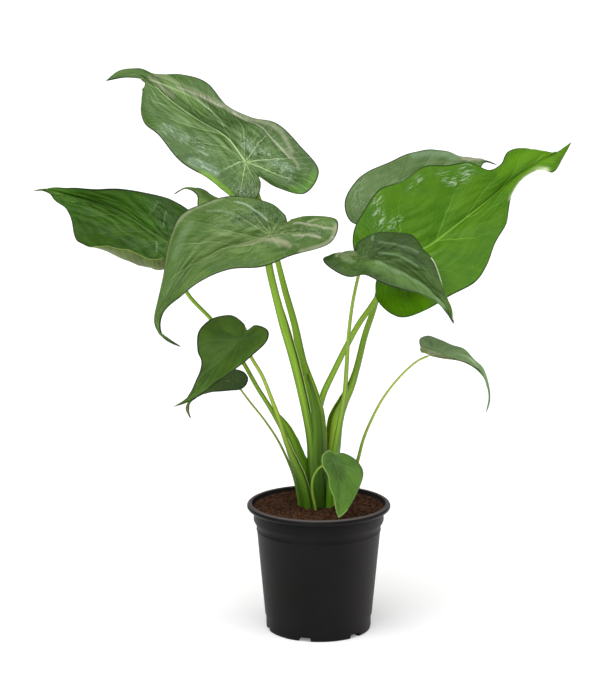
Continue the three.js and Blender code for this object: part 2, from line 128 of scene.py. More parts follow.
# Blades: swell, waves and puckers, and a seed for the unevenness of each half
SEEDS = {"left": 7.0, "right": 31.0}
SWELL_LIMIT = 1.7
WAVE_ROWS = 0.8
WAVE_ACROSS = 1.3
WAVE_HEIGHT = 1.6
PUCKER_STEP = 9
PUCKER_VEINS = 1.3
PUCKER_START = (4, 14)
PUCKER_REACH = 80
MARK_CORE = 0.15

# Stalks
STALK_SIDES = 20
STALK_STEP = 5
STALK_MARKS = 200
ROUTE_STEP = 0.004
MAP_LENGTH = 100

# The leaves, with points as (x, y, z).
# joint: where the stalk meets the blade; facing: the way the upper side looks; notch: where the two lobes
# part. left and right run from the notch round a lobe and along the margin to the tip: the first four
# points are the lobe, and a fourth number is how far the margin curls up there.
# stalk: the route from the rootstock up to the joint, with the stalk's radius as the fourth number.
LEAVES = [
    {
        "name": "upper_left_leaf",
        "joint": (-86, 60, 550), "notch": (-71, 45, 535), "tip": (-262, 204, 635),
        "facing": (-0.25, -0.7, 0.67),
        "midrib": [
            (-111, 97, 577), (-148, 125, 596), (-186, 158, 620), (-210, 185, 639), (-234, 199, 644),
        ],
        "left": [
            (-68, 34, 524), (-73, 25, 511), (-89, 24, 505), (-109, 33, 517), (-133, 45, 534),
            (-164, 64, 551), (-189, 93, 577), (-210, 121, 592), (-215, 153, 615), (-210, 175, 636),
            (-234, 193, 640),
        ],
        "right": [
            (-47, 29, 523), (-16, 17, 518), (0, 24, 542), (-23, 47, 572), (-50, 71, 595), (-81, 80, 602),
            (-108, 98, 613), (-134, 132, 638), (-167, 160, 647), (-196, 177, 645), (-220, 198, 651),
            (-245, 208, 647),
        ],
        "stalk": [
            (2, 1, 124, 5.5), (2, 1, 148, 6.6), (2, 3, 191, 7), (1, 7, 227, 7.6), (-2, 11, 260, 7.4),
            (-9, 14, 286, 6.6), (-19.6, 17, 319, 5.4), (-28.4, 22, 362, 4.1), (-40, 29, 403, 3.7),
            (-52.2, 40, 449, 3), (-68, 52, 500, 2.7),
        ],
    },
    {
        "name": "back_right_leaf",
        "joint": (89, 110, 481), "notch": (79, 99, 469), "tip": (222, 179, 533),
        "facing": (0, -0.6, 0.8),
        "midrib": [
            (118, 136, 500), (149, 157, 516), (181, 172, 529), (203, 178, 538),
        ],
        "left": [
            (69, 99, 468), (40, 103, 473), (32, 123, 494), (48, 143, 520), (86, 154, 540),
            (119, 171, 551), (153, 183, 552), (179, 181, 544), (203, 185, 540),
        ],
        "right": [
            (78, 82, 454), (92, 64, 445), (114, 62, 451), (135, 72, 470), (155, 90, 487), (178, 118, 505),
            (195, 152, 524), (206, 176, 537),
        ],
        "stalk": [
            (15, 9, 124, 5.5), (15, 9, 148, 6.5), (16, 12, 189, 7.5), (18, 15, 219, 8),
            (22, 20, 250, 7.6), (30, 26, 269, 5.4), (38, 30, 285, 4.2), (46, 36, 311, 3.8),
            (55, 45, 346, 3.6), (65, 55, 374, 3.4), (75, 72, 408, 3.2), (85, 95, 447, 2.8),
        ],
    },
    {
        "name": "right_leaf",
        "joint": (83, 10, 438), "notch": (71, 2, 428), "tip": (310, 168, 563),
        "facing": (0.1, -0.7, 0.7),
        "midrib": [
            (127, 34, 453), (158, 56, 472), (194, 79, 496), (232, 105, 523), (266, 132, 541),
            (291, 149, 553),
        ],
        "left": [
            (52, 6, 434), (40, 17, 454), (41, 27, 474), (55, 42, 498), (72, 57, 518), (98, 67, 527),
            (125, 85, 542), (152, 92, 543), (181, 101, 545), (204, 99, 537), (219, 113, 542),
            (229, 132, 555), (252, 143, 558), (280, 144, 552), (296, 152, 554),
        ],
        "right": [
            (66, -9, 416), (68, -29, 398), (91, -44, 383), (121, -37, 390), (150, -27, 405),
            (180, -17, 419), (194, -3, 436), (205, 18, 459), (221, 43, 480), (228, 73, 506, 8),
            (246, 98, 523, 8), (267, 117, 533, 2), (282, 119, 531), (297, 143, 546),
        ],
        "stalk": [
            (0, 14, 124, 4.5), (0, 15, 148, 5.2), (-3, 17, 188, 5), (-4, 19, 224, 4.6),
            (-1, 19, 254, 4.2), (5, 18, 279, 3.8), (18, 17, 308, 3.4), (32, 16, 337, 3.3),
            (47, 15, 365, 3.3), (60, 14, 384, 3.2), (69, 13, 399, 2.9), (78, 12, 420, 2.7),
        ],
    },
    {
        "name": "front_left_leaf",
        "joint": (-55, -30, 476), "notch": (-36, -27, 489), "tip": (-156, -96, 359),
        "facing": (-0.15, -0.8, 0.58),
        "midrib": [
            (-85, -24, 466), (-112, -21, 458), (-138, -28, 442), (-158, -45, 422), (-173, -61, 402),
            (-183, -73, 385), (-179, -83, 371), (-167, -90, 364),
        ],
        "left": [
            (-40, -20, 499), (-54, -14, 510), (-74, -8, 515), (-102, -1, 517), (-134, 1, 508),
            (-158, 2, 497), (-170, -5, 476), (-177, -25, 442), (-182, -49, 413), (-187, -70, 389),
            (-183, -80, 374), (-171, -89, 365),
        ],
        "right": [
            (-19, -26, 496), (20, -40, 494), (14, -56, 472), (-33, -57, 456), (-65, -61, 444),
            (-104, -60, 440), (-138, -64, 426), (-157, -66, 410), (-172, -67, 399), (-179, -74, 385),
            (-177, -84, 371), (-165, -92, 363),
        ],
        "stalk": [
            (-6, -1, 124, 4), (-6, -1, 148, 4.7), (-8, -3, 193, 4.7), (-10, -5, 230, 4.8),
            (-15.5, -8, 264, 4.8), (-22.6, -11, 297, 4.7), (-31.2, -14, 333, 4.9), (-41, -17, 369, 5.2),
            (-50.4, -20, 405, 4.3), (-57.8, -24, 439, 4.3), (-60, -27, 461, 3),
        ],
    },
    {
        "name": "front_right_leaf",
        "joint": (50, -40, 451), "notch": (40, -32, 458), "tip": (149, -108, 387),
        "facing": (0.1, -0.6, 0.79),
        "midrib": [
            (75, -37, 447), (97, -44, 439), (119, -67, 424), (135, -87, 409), (144, -100, 397),
        ],
        "left": [
            (25, -37, 457), (4, -52, 452), (16, -70, 441), (34, -78, 435), (52, -70, 436), (70, -82, 429),
            (90, -88, 423), (112, -91, 418), (132, -93, 407), (145, -103, 393),
        ],
        "right": [
            (44, -26, 466), (54, -20, 472), (70, -15, 477), (88, -14, 477), (106, -17, 474),
            (119, -34, 460), (131, -50, 447), (139, -76, 423), (146, -92, 404),
        ],
        "stalk": [
            (12, -4, 124, 3.8), (12, -4, 148, 4.0), (14, -7, 191, 3.9), (19, -10, 221, 3.7),
            (25, -13, 256, 3.2), (30, -17, 290, 2.7), (32, -20, 323, 2.4), (34, -24, 359, 2.1),
            (38, -28, 395, 1.9), (44, -34, 427, 1.8),
        ],
    },
    {
        "name": "back_left_leaf",
        "joint": (-105, 78, 487), "notch": (-96, 73, 485), "tip": (-175, 127, 504),
        "facing": (-0.15, -0.5, 0.85),
        "midrib": [
            (-120, 97, 495), (-135, 114, 504), (-148, 124, 509), (-160, 131, 510),
        ],
        "left": [
            (-86, 63, 479), (-93, 47, 469), (-112, 46, 469), (-131, 63, 481), (-144, 87, 494),
            (-146, 109, 504), (-155, 126, 509), (-164, 131, 510),
        ],
        "right": [
            (-84, 72, 487), (-85, 83, 496), (-99, 88, 502), (-113, 88, 502), (-128, 101, 507),
            (-140, 118, 512), (-152, 129, 512), (-163, 133, 511),
        ],
        "stalk": [
            (-9, 13, 124, 2.6), (-9, 14, 148, 3), (-7, 16, 194, 2.8), (-11, 20, 236, 2.6),
            (-17, 25, 277, 2.4), (-27, 31, 318, 2.2), (-39, 38, 359, 2), (-51, 46, 400, 1.9),
            (-64, 56, 438, 1.8), (-83, 68, 466, 1.7),
        ],
    },
    {
        "name": "small_left_leaf",
        "joint": (-88, -35, 355), "notch": (-83, -26, 365), "tip": (-166, -82, 286),
        "facing": (-0.25, -0.65, 0.72),
        "midrib": [
            (-105, -43, 339), (-123, -59, 322), (-139, -74, 306), (-154, -82, 293),
        ],
        "left": [
            (-88, -17, 372), (-102, -7, 379), (-124, -8, 375), (-139, -22, 363), (-140, -41, 344),
            (-135, -55, 332), (-142, -71, 312), (-150, -80, 298), (-158, -81, 291),
        ],
        "right": [
            (-74, -24, 370), (-59, -38, 367), (-59, -50, 358), (-76, -63, 343), (-96, -75, 328),
            (-115, -80, 316), (-135, -85, 301), (-150, -85, 292),
        ],
        "stalk": [
            (-13, -6, 124, 3.8), (-13, -6, 148, 4.5), (-20, -8, 182, 4.6), (-29, -11, 205, 4.2),
            (-40, -14, 235, 3.1), (-47, -17, 259, 2.6), (-56, -20, 284, 2.3), (-66, -25, 311, 2.1),
            (-78, -31, 333, 2),
        ],
    },
    {
        "name": "far_left_leaf",
        "joint": (-173, 44, 454), "notch": (-161, 39, 450), "tip": (-347, 142, 506),
        "facing": (-0.1, -0.6, 0.79),
        "midrib": [
            (-201, 76, 466), (-233, 103, 483), (-266, 120, 496), (-301, 131, 504), (-329, 138, 508),
        ],
        "left": [
            (-156, 29, 442), (-161, 11, 429, 10), (-178, -2, 420, 26), (-198, -3, 419, 27),
            (-222, 3, 423, 34), (-246, 15, 433, 27), (-269, 34, 448, 5), (-285, 47, 458), (-295, 80, 479),
            (-302, 100, 488), (-318, 118, 497), (-330, 136, 506),
        ],
        "right": [
            (-147, 45, 456), (-140, 59, 472), (-150, 71, 488), (-175, 81, 503), (-203, 88, 510),
            (-235, 98, 514), (-267, 108, 513), (-300, 124, 512), (-324, 138, 511), (-336, 141, 508),
        ],
        "stalk": [
            (-18, 4, 124, 3.8), (-18, 4, 148, 4.4), (-24, 5, 181, 4.2), (-33, 6, 209, 3.8),
            (-42, 7, 237, 3.2), (-56, 9, 263, 2.7), (-73, 13, 290, 2.5), (-89, 17, 318, 2.4),
            (-107, 22, 343, 2.4), (-127, 28, 368, 2.3), (-154, 36, 396, 2.3), (-167, 41, 423, 2.2),
        ],
    },
    {
        "name": "low_left_leaf",
        "joint": (-98, 0, 298), "notch": (-83, -4, 300), "tip": (-149, -34, 262),
        "facing": (-0.2, -0.45, 0.87),
        "midrib": [
            (-112, 9, 298), (-130, 1, 291), (-145, -12, 283), (-153, -24, 275),
        ],
        "left": [
            (-85, -11, 297), (-91, -20, 294), (-104, -20, 292), (-118, -16, 290), (-133, -13, 287),
            (-142, -16, 283), (-150, -22, 277), (-151, -27, 269),
        ],
        "right": [
            (-83, 1, 303), (-89, 12, 308), (-103, 17, 310), (-118, 16, 306), (-132, 1, 296),
            (-144, -12, 285), (-153, -19, 278), (-155, -22, 271),
        ],
        "stalk": [
            (-22, 9, 124, 1.6), (-23, 9, 148, 1.8), (-29, 10, 180, 1.7), (-37, 10, 202, 1.5),
            (-49, 10, 227, 1.3), (-65, 8, 252, 1.2), (-81, 6, 273, 1.2),
        ],
    },
    {
        "name": "small_right_leaf",
        "joint": (129, -5, 331), "notch": (125, -5, 335), "tip": (195, -12, 264),
        "facing": (0.1, -0.2, 0.97),
        "midrib": [
            (147, -4, 328), (165, -3, 325), (181, -3, 317), (193, -5, 304), (198, -8, 286),
            (199, -10, 273),
        ],
        "left": [
            (119, -12, 336), (117, -22, 343), (121, -32, 346), (131, -36, 343), (145, -34, 337),
            (159, -26, 330), (173, -15, 323), (188, -8, 312), (195, -8, 298), (198, -10, 282),
        ],
        "right": [
            (119, 4, 339), (118, 18, 344), (122, 34, 345), (131, 45, 345), (144, 46, 340), (158, 38, 335),
            (171, 26, 333), (181, 14, 324), (192, 4, 315), (198, -3, 299), (200, -8, 282),
        ],
        "stalk": [
            (19, 17, 120, 2.2), (33, 40, 148, 2.4), (40, 36, 173, 2.3), (47, 34, 196, 2.1),
            (53, 31, 221, 1.8), (62, 28, 245, 1.6), (75, 23, 272, 1.4), (89, 18, 293, 1.3),
            (103, 12, 310, 1.2), (116, 4, 323, 1.2),
        ],
    },
    {
        "name": "front_small_leaf",
        "joint": (18, -42, 213), "notch": (17, -37, 221), "tip": (22, -75, 154),
        "facing": (0, -0.85, 0.53),
        "midrib": [
            (22, -51, 195), (23, -62, 179), (22, -69, 164),
        ],
        "left": [
            (12, -37, 225), (4, -42, 221), (3, -50, 211), (10, -57, 199), (12, -65, 187), (17, -68, 174),
            (19, -73.5, 162),
        ],
        "right": [
            (28, -39, 222), (42, -45, 216), (51, -56, 204), (47, -65, 189), (39, -67, 172),
            (30, -73, 160),
        ],
        "stalk": [
            (-3, -8, 124, 1.4), (-4, -14, 148, 1.6), (-8, -17, 171, 1.6), (-7, -21, 187, 1.5),
            (-1, -27, 200, 1.4), (8, -34, 208, 1.3),
        ],
    },
]

# How each blade is finished. cells: columns and rows of the sheet; arch: how far each half bows up between
# midrib and margin; quilt: how far the blade swells between its veins, as a share of their gap; ripple: how
# far the margin waves; pucker: how deeply the skin puckers round the joint; rib: half the midrib's width
# there; smooth: how many times the sheet is evened out. left and right are the half's own veins, where it
# hasn't the common ones. A vein is (row where it leaves the midrib, row where it meets the margin), with
# rows counted from the notch: 6 is the joint and 17 the tip, and a vein in a lobe starts at the joint,
# whatever its row.
COMMON_VEINS = [(1.5, 1.5), (3.2, 3.2), (4.8, 4.8), (6, 7.2), (6.2, 9.4), (7.6, 11.4), (9.4, 13.2),
                (11.6, 14.8), (13.6, 16)]
LARGE = (80, 136)
SMALL = (48, 84)
FINISH = {
    "upper_left_leaf": {
        "cells": LARGE, "arch": 3.0, "quilt": 0.055, "ripple": 1.2, "pucker": 2.6, "rib": 1.5,
        "left": [(2.2, 2.2), (4.7, 4.7), (6, 7.0), (6, 10.6), (7.8, 12.4), (9.8, 13.8), (12, 15.2)],
        "right": [(0.9, 0.9), (3.4, 3.4), (4.6, 5.2), (6, 7.2), (6, 9.3), (7.2, 11.4), (9, 13.2), (11, 15)],
    },
    "back_right_leaf": {
        "cells": LARGE, "arch": 3.0, "quilt": 0.05, "ripple": 1.2, "pucker": 1.4, "rib": 1.5,
    },
    "right_leaf": {
        "cells": LARGE, "arch": 2.0, "quilt": 0.04, "ripple": 1.4, "pucker": 1.4, "rib": 2.2,
        "left": [(1.6, 1.6), (3.4, 3.4), (5, 5.4), (6, 7.8), (8.1, 11), (9.8, 12.8), (11.6, 14.6),
                 (13.5, 16)],
        "right": [(1.6, 1.6), (3.4, 3.4), (5, 5.4), (6, 8.2), (8.1, 10.6), (9.8, 12.6), (11.6, 14.4),
                  (13.5, 16)],
    },
    "front_left_leaf": {
        "cells": LARGE, "arch": 3.5, "quilt": 0.06, "ripple": 1.2, "pucker": 4.0, "rib": 1.2,
        "left": [(1.6, 1.6), (3.9, 3.9), (5, 5.6), (6, 6.8), (6.4, 9), (7.6, 11), (9.4, 13), (11.6, 14.8)],
        "right": [(1.8, 1.8), (4, 4), (6, 6.2), (6.2, 8.6), (7.6, 10.8), (9.4, 12.8), (11.6, 14.6)],
    },
    "front_right_leaf": {
        "cells": LARGE, "arch": 3.0, "quilt": 0.07, "ripple": 0.8, "pucker": 2.2, "rib": 1.1,
        "left": [(1.8, 1.8), (4.1, 4.1), (6, 6.2), (6, 8.4), (7.6, 10.6), (9.6, 12.6), (11.8, 14.6)],
        "right": [(2.4, 2.4), (4.6, 4.6), (6, 7), (6.6, 8.8), (7.8, 11.2), (9.6, 13), (11.8, 14.8)],
    },
    "back_left_leaf": {"cells": SMALL, "arch": 1.6, "quilt": 0.05, "ripple": 0.5, "rib": 1.0},
    "small_left_leaf": {"cells": SMALL, "arch": -1.0, "quilt": 0.04, "ripple": 0.6, "smooth": 50, "rib": 0.8},
    "far_left_leaf": {
        "cells": LARGE, "arch": -2.5, "quilt": 0.05, "ripple": 1.0, "pucker": 3.0, "smooth": 90, "rib": 1.2,
    },
    "low_left_leaf": {"cells": SMALL, "arch": 1.0, "quilt": 0.04, "ripple": 0.4, "smooth": 30, "rib": 0.6},
    "small_right_leaf": {"cells": SMALL, "arch": 1.0, "quilt": 0.04, "ripple": 0.4, "rib": 0.7},
    "front_small_leaf": {"cells": SMALL, "arch": 1.2, "quilt": 0.03, "ripple": 0.3, "smooth": 20, "rib": 0.7},
}


# Marks on the blades, real tones and painted light among them: side, path as (row, across), half width in mm,
# tone, strength, and lift in mm. A mark without a tone is a patch of painted glints on the crests of the
# wrinkles.
MARK_STEPS = 3
BLADE_MARKS_AND_PAINTED_LIGHT = {
    "upper_left_leaf": [
        # Patches of painted glints.
        ("left", [(10.2, 0.75), (9.2, 0.6), (8.5, 0.5), (7.8, 0.6)], 14, None, 0.65, 0.8),
        ("left", [(8.2, 0.86), (7.6, 0.84), (7.0, 0.78)], 9, None, 0.9, 0.8),
        ("right", [(7.0, 0.2), (6.2, 0.35), (5.2, 0.4), (4.2, 0.5)], 12, None, 0.8, 0.0),
        ("right", [(4.6, 0.46), (4.2, 0.55), (3.6, 0.65)], 10, None, 0.8, 0.8),
        ("left", [(4.8, 0.7), (4.2, 0.85), (3.0, 0.8)], 12, None, 0.7, 0.5),
        # Pale pinkish bands: painted reflection of the bright room on facets that face up.
        ("right", [(13, 0.55), (11.2, 0.48), (10.5, 0.62), (9.7, 0.88)], 6, "a9a78e", 0.36, 0.8),
        ("right", [(9.7, 0.93), (8.7, 0.88), (7.6, 0.85), (6.7, 0.9), (5.6, 0.78)], 5, "b2ae98", 0.36, 1.0),
        ("right", [(6.4, 0.66), (5.2, 0.72), (4.4, 0.74)], 3, "b3b39b", 0.4, 0.6),
        ("right", [(13.2, 0.15), (12, 0.14), (11.2, 0.16)], 6, "b4ab98", 0.45, 0.0),
        # A pale line along the fold, painted highlight, and a dark line below it, painted shade.
        ("right", [(13.1, 0.08), (12.2, 0.25), (11.3, 0.33), (10.8, 0.4), (10.2, 0.5), (9.6, 0.52),
                   (9.0, 0.42), (8.4, 0.25)], 1.5, "c6daaa", 0.65, 0.9),
        ("right", [(12.8, 0.4), (11.6, 0.43), (10.5, 0.56), (9.8, 0.62)], 1.6, "33521f", 0.5, -0.6),
        ("left", [(7.6, 0.97), (6.6, 0.96), (5.6, 0.97)], 7, "6f9f1e", 0.85, 0.5),
        ("right", [(4.2, 0.95), (3.2, 0.93), (2.6, 0.9)], 9, "5d8f26", 0.55, 0.0),
        # Soft pale bluish patches under the glints: painted gloss.
        ("left", [(10.2, 0.78), (9.8, 0.65), (9.2, 0.58)], 9, "86a288", 0.25, 0.0),
        ("left", [(8.3, 0.88), (7.8, 0.83), (7.0, 0.8)], 8, "8fa898", 0.35, 0.0),
        ("right", [(6.8, 0.23), (6.2, 0.25)], 6, "8aa292", 0.4, 0.0),
        ("right", [(4.7, 0.4), (4.2, 0.65)], 7, "8aa292", 0.35, 0.0),
        ("right", [(6.4, 0.12), (5.6, 0.2), (4.6, 0.25)], 5, "274414", 0.35, -0.5),
        # Thin white lines along the pale band: painted highlights.
        ("right", [(11.4, 0.42), (10.7, 0.52), (10.2, 0.68), (9.6, 0.85)], 1.2, "ddd6c6", 0.6, 0.5),
        ("right", [(9.0, 0.86), (8.2, 0.78), (7.2, 0.7), (6.6, 0.66), (6.0, 0.66),
                   (5.2, 0.68)], 1.3, "d6d6c0", 0.6, 0.6),
        ("right", [(12.4, 0.5), (11, 0.35), (9.8, 0.35)], 9, "7f9f58", 0.35, 0.0),
    ],
    "front_left_leaf": [
        # Patches of painted glints.
        ("left", [(7.4, 0.45), (6.4, 0.5), (4.4, 0.5), (2.8, 0.5)], 22, None, 0.3, 0.0),
        ("right", [(5.6, 0.3), (4.0, 0.5), (3.4, 0.8)], 14, None, 0.3, 0.0),
        # A pale pinkish strip along the margin: painted sheen.
        ("left", [(12, 0.9), (10.7, 0.95), (9.8, 0.97), (8.6, 0.94), (7.2, 0.97), (6.4, 0.97)], 4, "9fa284",
         0.35, 0.0),
        ("left", [(10.4, 0.6), (9.6, 0.64), (8.6, 0.7)], 6, "7f9a74", 0.35, 0.5),
        # Pale pinkish areas and lines below the midrib: painted sheen.
        ("right", [(7.6, 0.12), (7.0, 0.14), (6.5, 0.16), (6.1, 0.25), (5.8, 0.55)], 8, "9d9a80", 0.4, 0.8),
        ("right", [(4.6, 0.4), (4.4, 0.5), (4.25, 0.6), (4.4, 0.8)], 3, "bdb8a2", 0.55, 0.9),
        ("right", [(4.2, 0.97), (4.6, 0.97), (5.0, 0.95), (5.6, 0.95)], 4, "aaa890", 0.5, 0.0),
        ("right", [(3.4, 0.96), (3.8, 0.97), (4.2, 0.97)], 4, "b5b09c", 0.45, 0.0),
        ("right", [(6.5, 0.1), (6.2, 0.3), (5.8, 0.43), (5.7, 0.7)], 4.5, "a5a288", 0.5, 0.6),
        ("right", [(2.1, 0.5), (2.9, 0.53), (3.3, 0.65), (3.6, 0.8), (3.7, 0.93)], 2.4, "b5b49c", 0.55, 0.7),
        # Two dark crinkles near the joint: painted shade.
        ("right", [(4.2, 0.2), (3.9, 0.32), (3.7, 0.45), (3.8, 0.62), (3.95, 0.8)], 2.2, "26430f", 0.7, -0.9),
        ("right", [(2.8, 0.3), (3.1, 0.45), (3.3, 0.5)], 3.5, "26430f", 0.55, -0.7),
        ("right", [(2.7, 0.62), (2.6, 0.8)], 2.5, "a9b48e", 0.45, 0.6),
        # Two dark hollows: painted shade.
        ("left", [(6.7, 0.45), (6.3, 0.4), (5.6, 0.42), (4.6, 0.25)], 9, "1d3c0c", 0.6, -1.0),
        ("left", [(4.2, 0.72), (3.0, 0.7), (1.8, 0.62), (0.9, 0.7)], 12, "1f400c", 0.6, -1.0),
        ("left", [(6.1, 0.83), (5.5, 0.73), (5.2, 0.6), (4.7, 0.5), (4.0, 0.38)], 1.8, "b9c8b2", 0.6, 1.2),
        ("left", [(7.4, 0.8), (6.8, 0.68), (6.5, 0.5)], 1.8, "9fb08a", 0.45, 0.8),
        ("left", [(12.4, 0.5), (10.6, 0.5), (9.2, 0.5), (8.2, 0.6)], 17, "3c5e1a", 0.5, 0.0),
        ("right", [(12.6, 0.5), (11, 0.45), (9.4, 0.4)], 14, "3c5e1a", 0.45, 0.0),
    ],
    "back_right_leaf": [
        ("left", [(13.0, 0.7), (14.6, 0.5), (16, 0.3)], 4, "b5a89c", 0.6, 0.0),
        # A patch of painted glints, then a soft pale patch of painted gloss.
        ("left", [(6.0, 0.9), (5.0, 0.75), (4.2, 0.7), (3.6, 0.55)], 12, None, 0.35, 0.0),
        ("left", [(9.5, 0.9), (11.0, 0.8), (12.5, 0.7)], 9, "8fa68c", 0.35, 0.0),
    ],
    "right_leaf": [
        # Patches of painted glints.
        ("left", [(6.6, 0.92), (6.4, 0.8), (6.3, 0.7), (6.2, 0.56)], 10, None, 1.0, 0.8),
        ("left", [(7.0, 0.5), (6.6, 0.46)], 8, None, 1.0, 0.9),
        ("left", [(10.4, 0.85), (10.2, 0.7), (9.8, 0.66), (9.4, 0.8)], 12, None, 0.9, 0.7),
        ("left", [(8.4, 0.88), (8.0, 0.8)], 8, None, 0.6, 0.5),
        ("left", [(9.0, 0.99), (8.4, 0.99), (7.8, 0.99), (7.2, 0.99)], 1.2, "c4d6a2", 0.8, 0.0),
        ("right", [(11.9, 1.0), (12.6, 0.98), (13.4, 0.98), (14.4, 1.0)], 9, "cfd9b0", 0.9, 0.0),
        ("right", [(12.0, 0.72), (12.8, 0.72), (13.7, 0.86)], 1.6, "44661c", 0.7, 0.6),
        # A lighter lower lobe: painted light where the leaf in front shades it.
        ("right", [(3.1, 0.7), (4.4, 0.75), (5.1, 0.85), (6.0, 0.9)], 18, "5c9602", 0.75, 0.0),
        ("right", [(14.6, 0.3), (13.2, 0.3), (12, 0.4)], 12, "578303", 0.6, 0.0),
        ("left", [(15.2, 0.5), (13.4, 0.5), (12, 0.6)], 12, "578303", 0.6, 0.0),
    ],
    "front_right_leaf": [
        ("right", [(10.9, 1.0), (12.4, 1.0), (14.5, 1.0), (16.6, 1.0)], 1.7, "e6ecd6", 1.0, 0.0),
        ("left", [(7.4, 0.5), (9.6, 0.6), (11.6, 0.6), (14.2, 0.6)], 16, "6f9050", 0.5, 0.0),
        ("left", [(7.6, 0.35), (9.6, 0.42), (11.6, 0.3), (14.2, 0.3)], 6, "7d9a70", 0.5, 0.8),
        ("right", [(6.9, 0.16), (8.5, 0.24), (10.4, 0.3)], 2.6, "7b9668", 0.5, 0.9),
        ("right", [(5.8, 0.5), (7.9, 0.5), (9.6, 0.7)], 2.6, "748f62", 0.45, 0.9),
        ("right", [(4.2, 0.62), (4.0, 0.8)], 2.6, "86a078", 0.4, 0.8),
        ("right", [(6.6, 0.3), (8.3, 0.38), (9.8, 0.5)], 2.4, "1f3613", 0.5, -0.8),
        ("left", [(7.2, 0.1), (10, 0.1), (13, 0.1)], 3, "2c4a1e", 0.5, -0.5),
        ("left", [(1.6, 0.5), (3.0, 0.5), (4.4, 0.45)], 9, "8b9a70", 0.45, 0.0),
        ("left", [(2.0, 0.7), (3.2, 0.68)], 3, "a6ad90", 0.5, 0.4),
    ],
    "far_left_leaf": [
        # Patches of painted glints.
        ("right", [(6.4, 0.3), (6.6, 0.6), (7.2, 0.75)], 16, None, 0.12, 0.0),
        ("left", [(6.3, 0.1), (7.0, 0.25)], 14, None, 0.12, 0.0),
        ("left", [(9.8, 1.0), (8.4, 1.0), (7.0, 1.0), (5.8, 1.0), (4.6, 1.0)], 3, "a9b266", 0.95, 0.0),
        # A dark hollow near the joint: painted shade.
        ("right", [(6.2, 0.2), (6.6, 0.5), (7.0, 0.8)], 20, "163806", 0.35, 0.0),
        ("right", [(7.6, 0.5), (7.2, 0.7), (7.0, 0.85)], 1.8, "7a9a5a", 0.5, 0.8),
        ("right", [(6.7, 0.3), (6.5, 0.5), (6.4, 0.7)], 1.8, "8aa872", 0.5, 0.9),
        ("left", [(7.0, 0.1), (6.6, 0.3)], 1.6, "9db48a", 0.45, 0.6),
        # Lighter green over the upper half: painted light where that half turns from the lamp.
        ("right", [(13, 0.43), (11.5, 0.6), (10.2, 0.65), (8.8, 0.7), (7.6, 0.68)], 15, "44701a", 0.5, 0.0),
        ("right", [(15.4, 0.2), (13, 0.15), (10, 0.15), (7.6, 0.2)], 14, "4b7a22", 0.55, 0.0),
    ],
    "small_right_leaf": [
        ("right", [(6.2, 0.4), (6.1, 0.6)], 2.2, "1c2a10", 0.7, 0.0),
        ("left", [(3.6, 0.92), (5.4, 0.9), (6.8, 0.92), (8.2, 0.9)], 4.0, "84a24c", 0.75, 0.0),
        ("right", [(9.4, 0.36), (10.4, 0.36), (11.4, 0.3)], 3.0, "bcc4a4", 0.6, 0.0),
    ],
    "low_left_leaf": [
        ("left", [(13.5, 0.9), (15, 0.5), (17, 0.0)], 4, "6d5a3c", 0.8, 0.0),
        ("right", [(14.5, 0.4), (17, 0.0)], 4, "6d5a3c", 0.8, 0.0),
    ],
    "front_small_leaf": [
        ("left", [(1.0, 0.5), (5.4, 0.3), (7.4, 0.3)], 8, "304a22", 0.5, 0.0),
        ("right", [(1.0, 0.4), (5.4, 0.12), (6.6, 0.1)], 7, "2f5224", 0.5, 0.0),
        ("right", [(1.0, 0.99), (2.6, 1.0), (4.3, 1.0), (6.7, 1.0), (9.4, 1.0),
                   (12, 1.0)], 2.0, "0c1606", 1.0, 0.0),
        ("right", [(4.6, 0.3), (6.6, 0.3), (8.0, 0.2)], 8, "304a22", 0.6, 0.0),
    ],
}


# --- Small helpers

WELD_GAP = 0.01


def clamp(value, low=0.0, high=1.0):
    return max(low, min(high, value))


def smooth(value, low, high):
    """0 below low, 1 above high, and a soft step between."""
    share = clamp((value - low) / (high - low))
    return share * share * (3 - 2 * share)


def millimetres(point):
    return Vector(point[:3]) * MM


class Route:
    """An even smooth curve through points; at(0) is the first of them and at(1) the last."""

    def __init__(self, points):
        knots = [millimetres(point) for point in points]
        self.spans = len(knots) - 1
        self.knots = [2 * knots[0] - knots[1], *knots, 2 * knots[-1] - knots[-2]]

    def at(self, share):
        place = clamp(share) * self.spans
        index = min(int(place), self.spans - 1)
        before, start, end, after = self.knots[index : index + 4]
        first = (start - before).length ** 0.5
        middle = (end - start).length ** 0.5
        last = (after - end).length ** 0.5
        leave = (start - before) / first - (end - before) / (first + middle) + (end - start) / middle
        reach = (end - start) / middle - (after - start) / (middle + last) + (after - end) / last
        leave *= middle
        reach *= middle
        step = place - index
        bend = -3 * start + 3 * end - 2 * leave - reach
        turn = 2 * start - 2 * end + leave + reach
        return start + leave * step + bend * step**2 + turn * step**3


def deselect():
    bpy.ops.object.select_all(action="DESELECT")


def choose(*pieces):
    """Selects these pieces and nothing else; the last of them becomes the active one."""
    deselect()
    for piece in pieces:
        piece.select_set(True)
    bpy.context.view_layer.objects.active = pieces[-1]


def edit(piece):
    """Starts to edit one piece, with all of it selected."""
    choose(piece)
    bpy.ops.object.mode_set(mode="EDIT")
    bpy.ops.mesh.select_all(action="SELECT")


def leave_edit():
    bpy.ops.object.mode_set(mode="OBJECT")


def apply_modifier(piece, kind, **settings):
    modifier = piece.modifiers.new(kind.lower(), kind)
    for name, value in settings.items():
        setattr(modifier, name, value)
    choose(piece)
    bpy.ops.object.modifier_apply(modifier=modifier.name)


def named(name):
    """The piece that was added last, with its name."""
    piece = bpy.context.active_object
    piece.name = name
    piece.data.name = name
    return piece


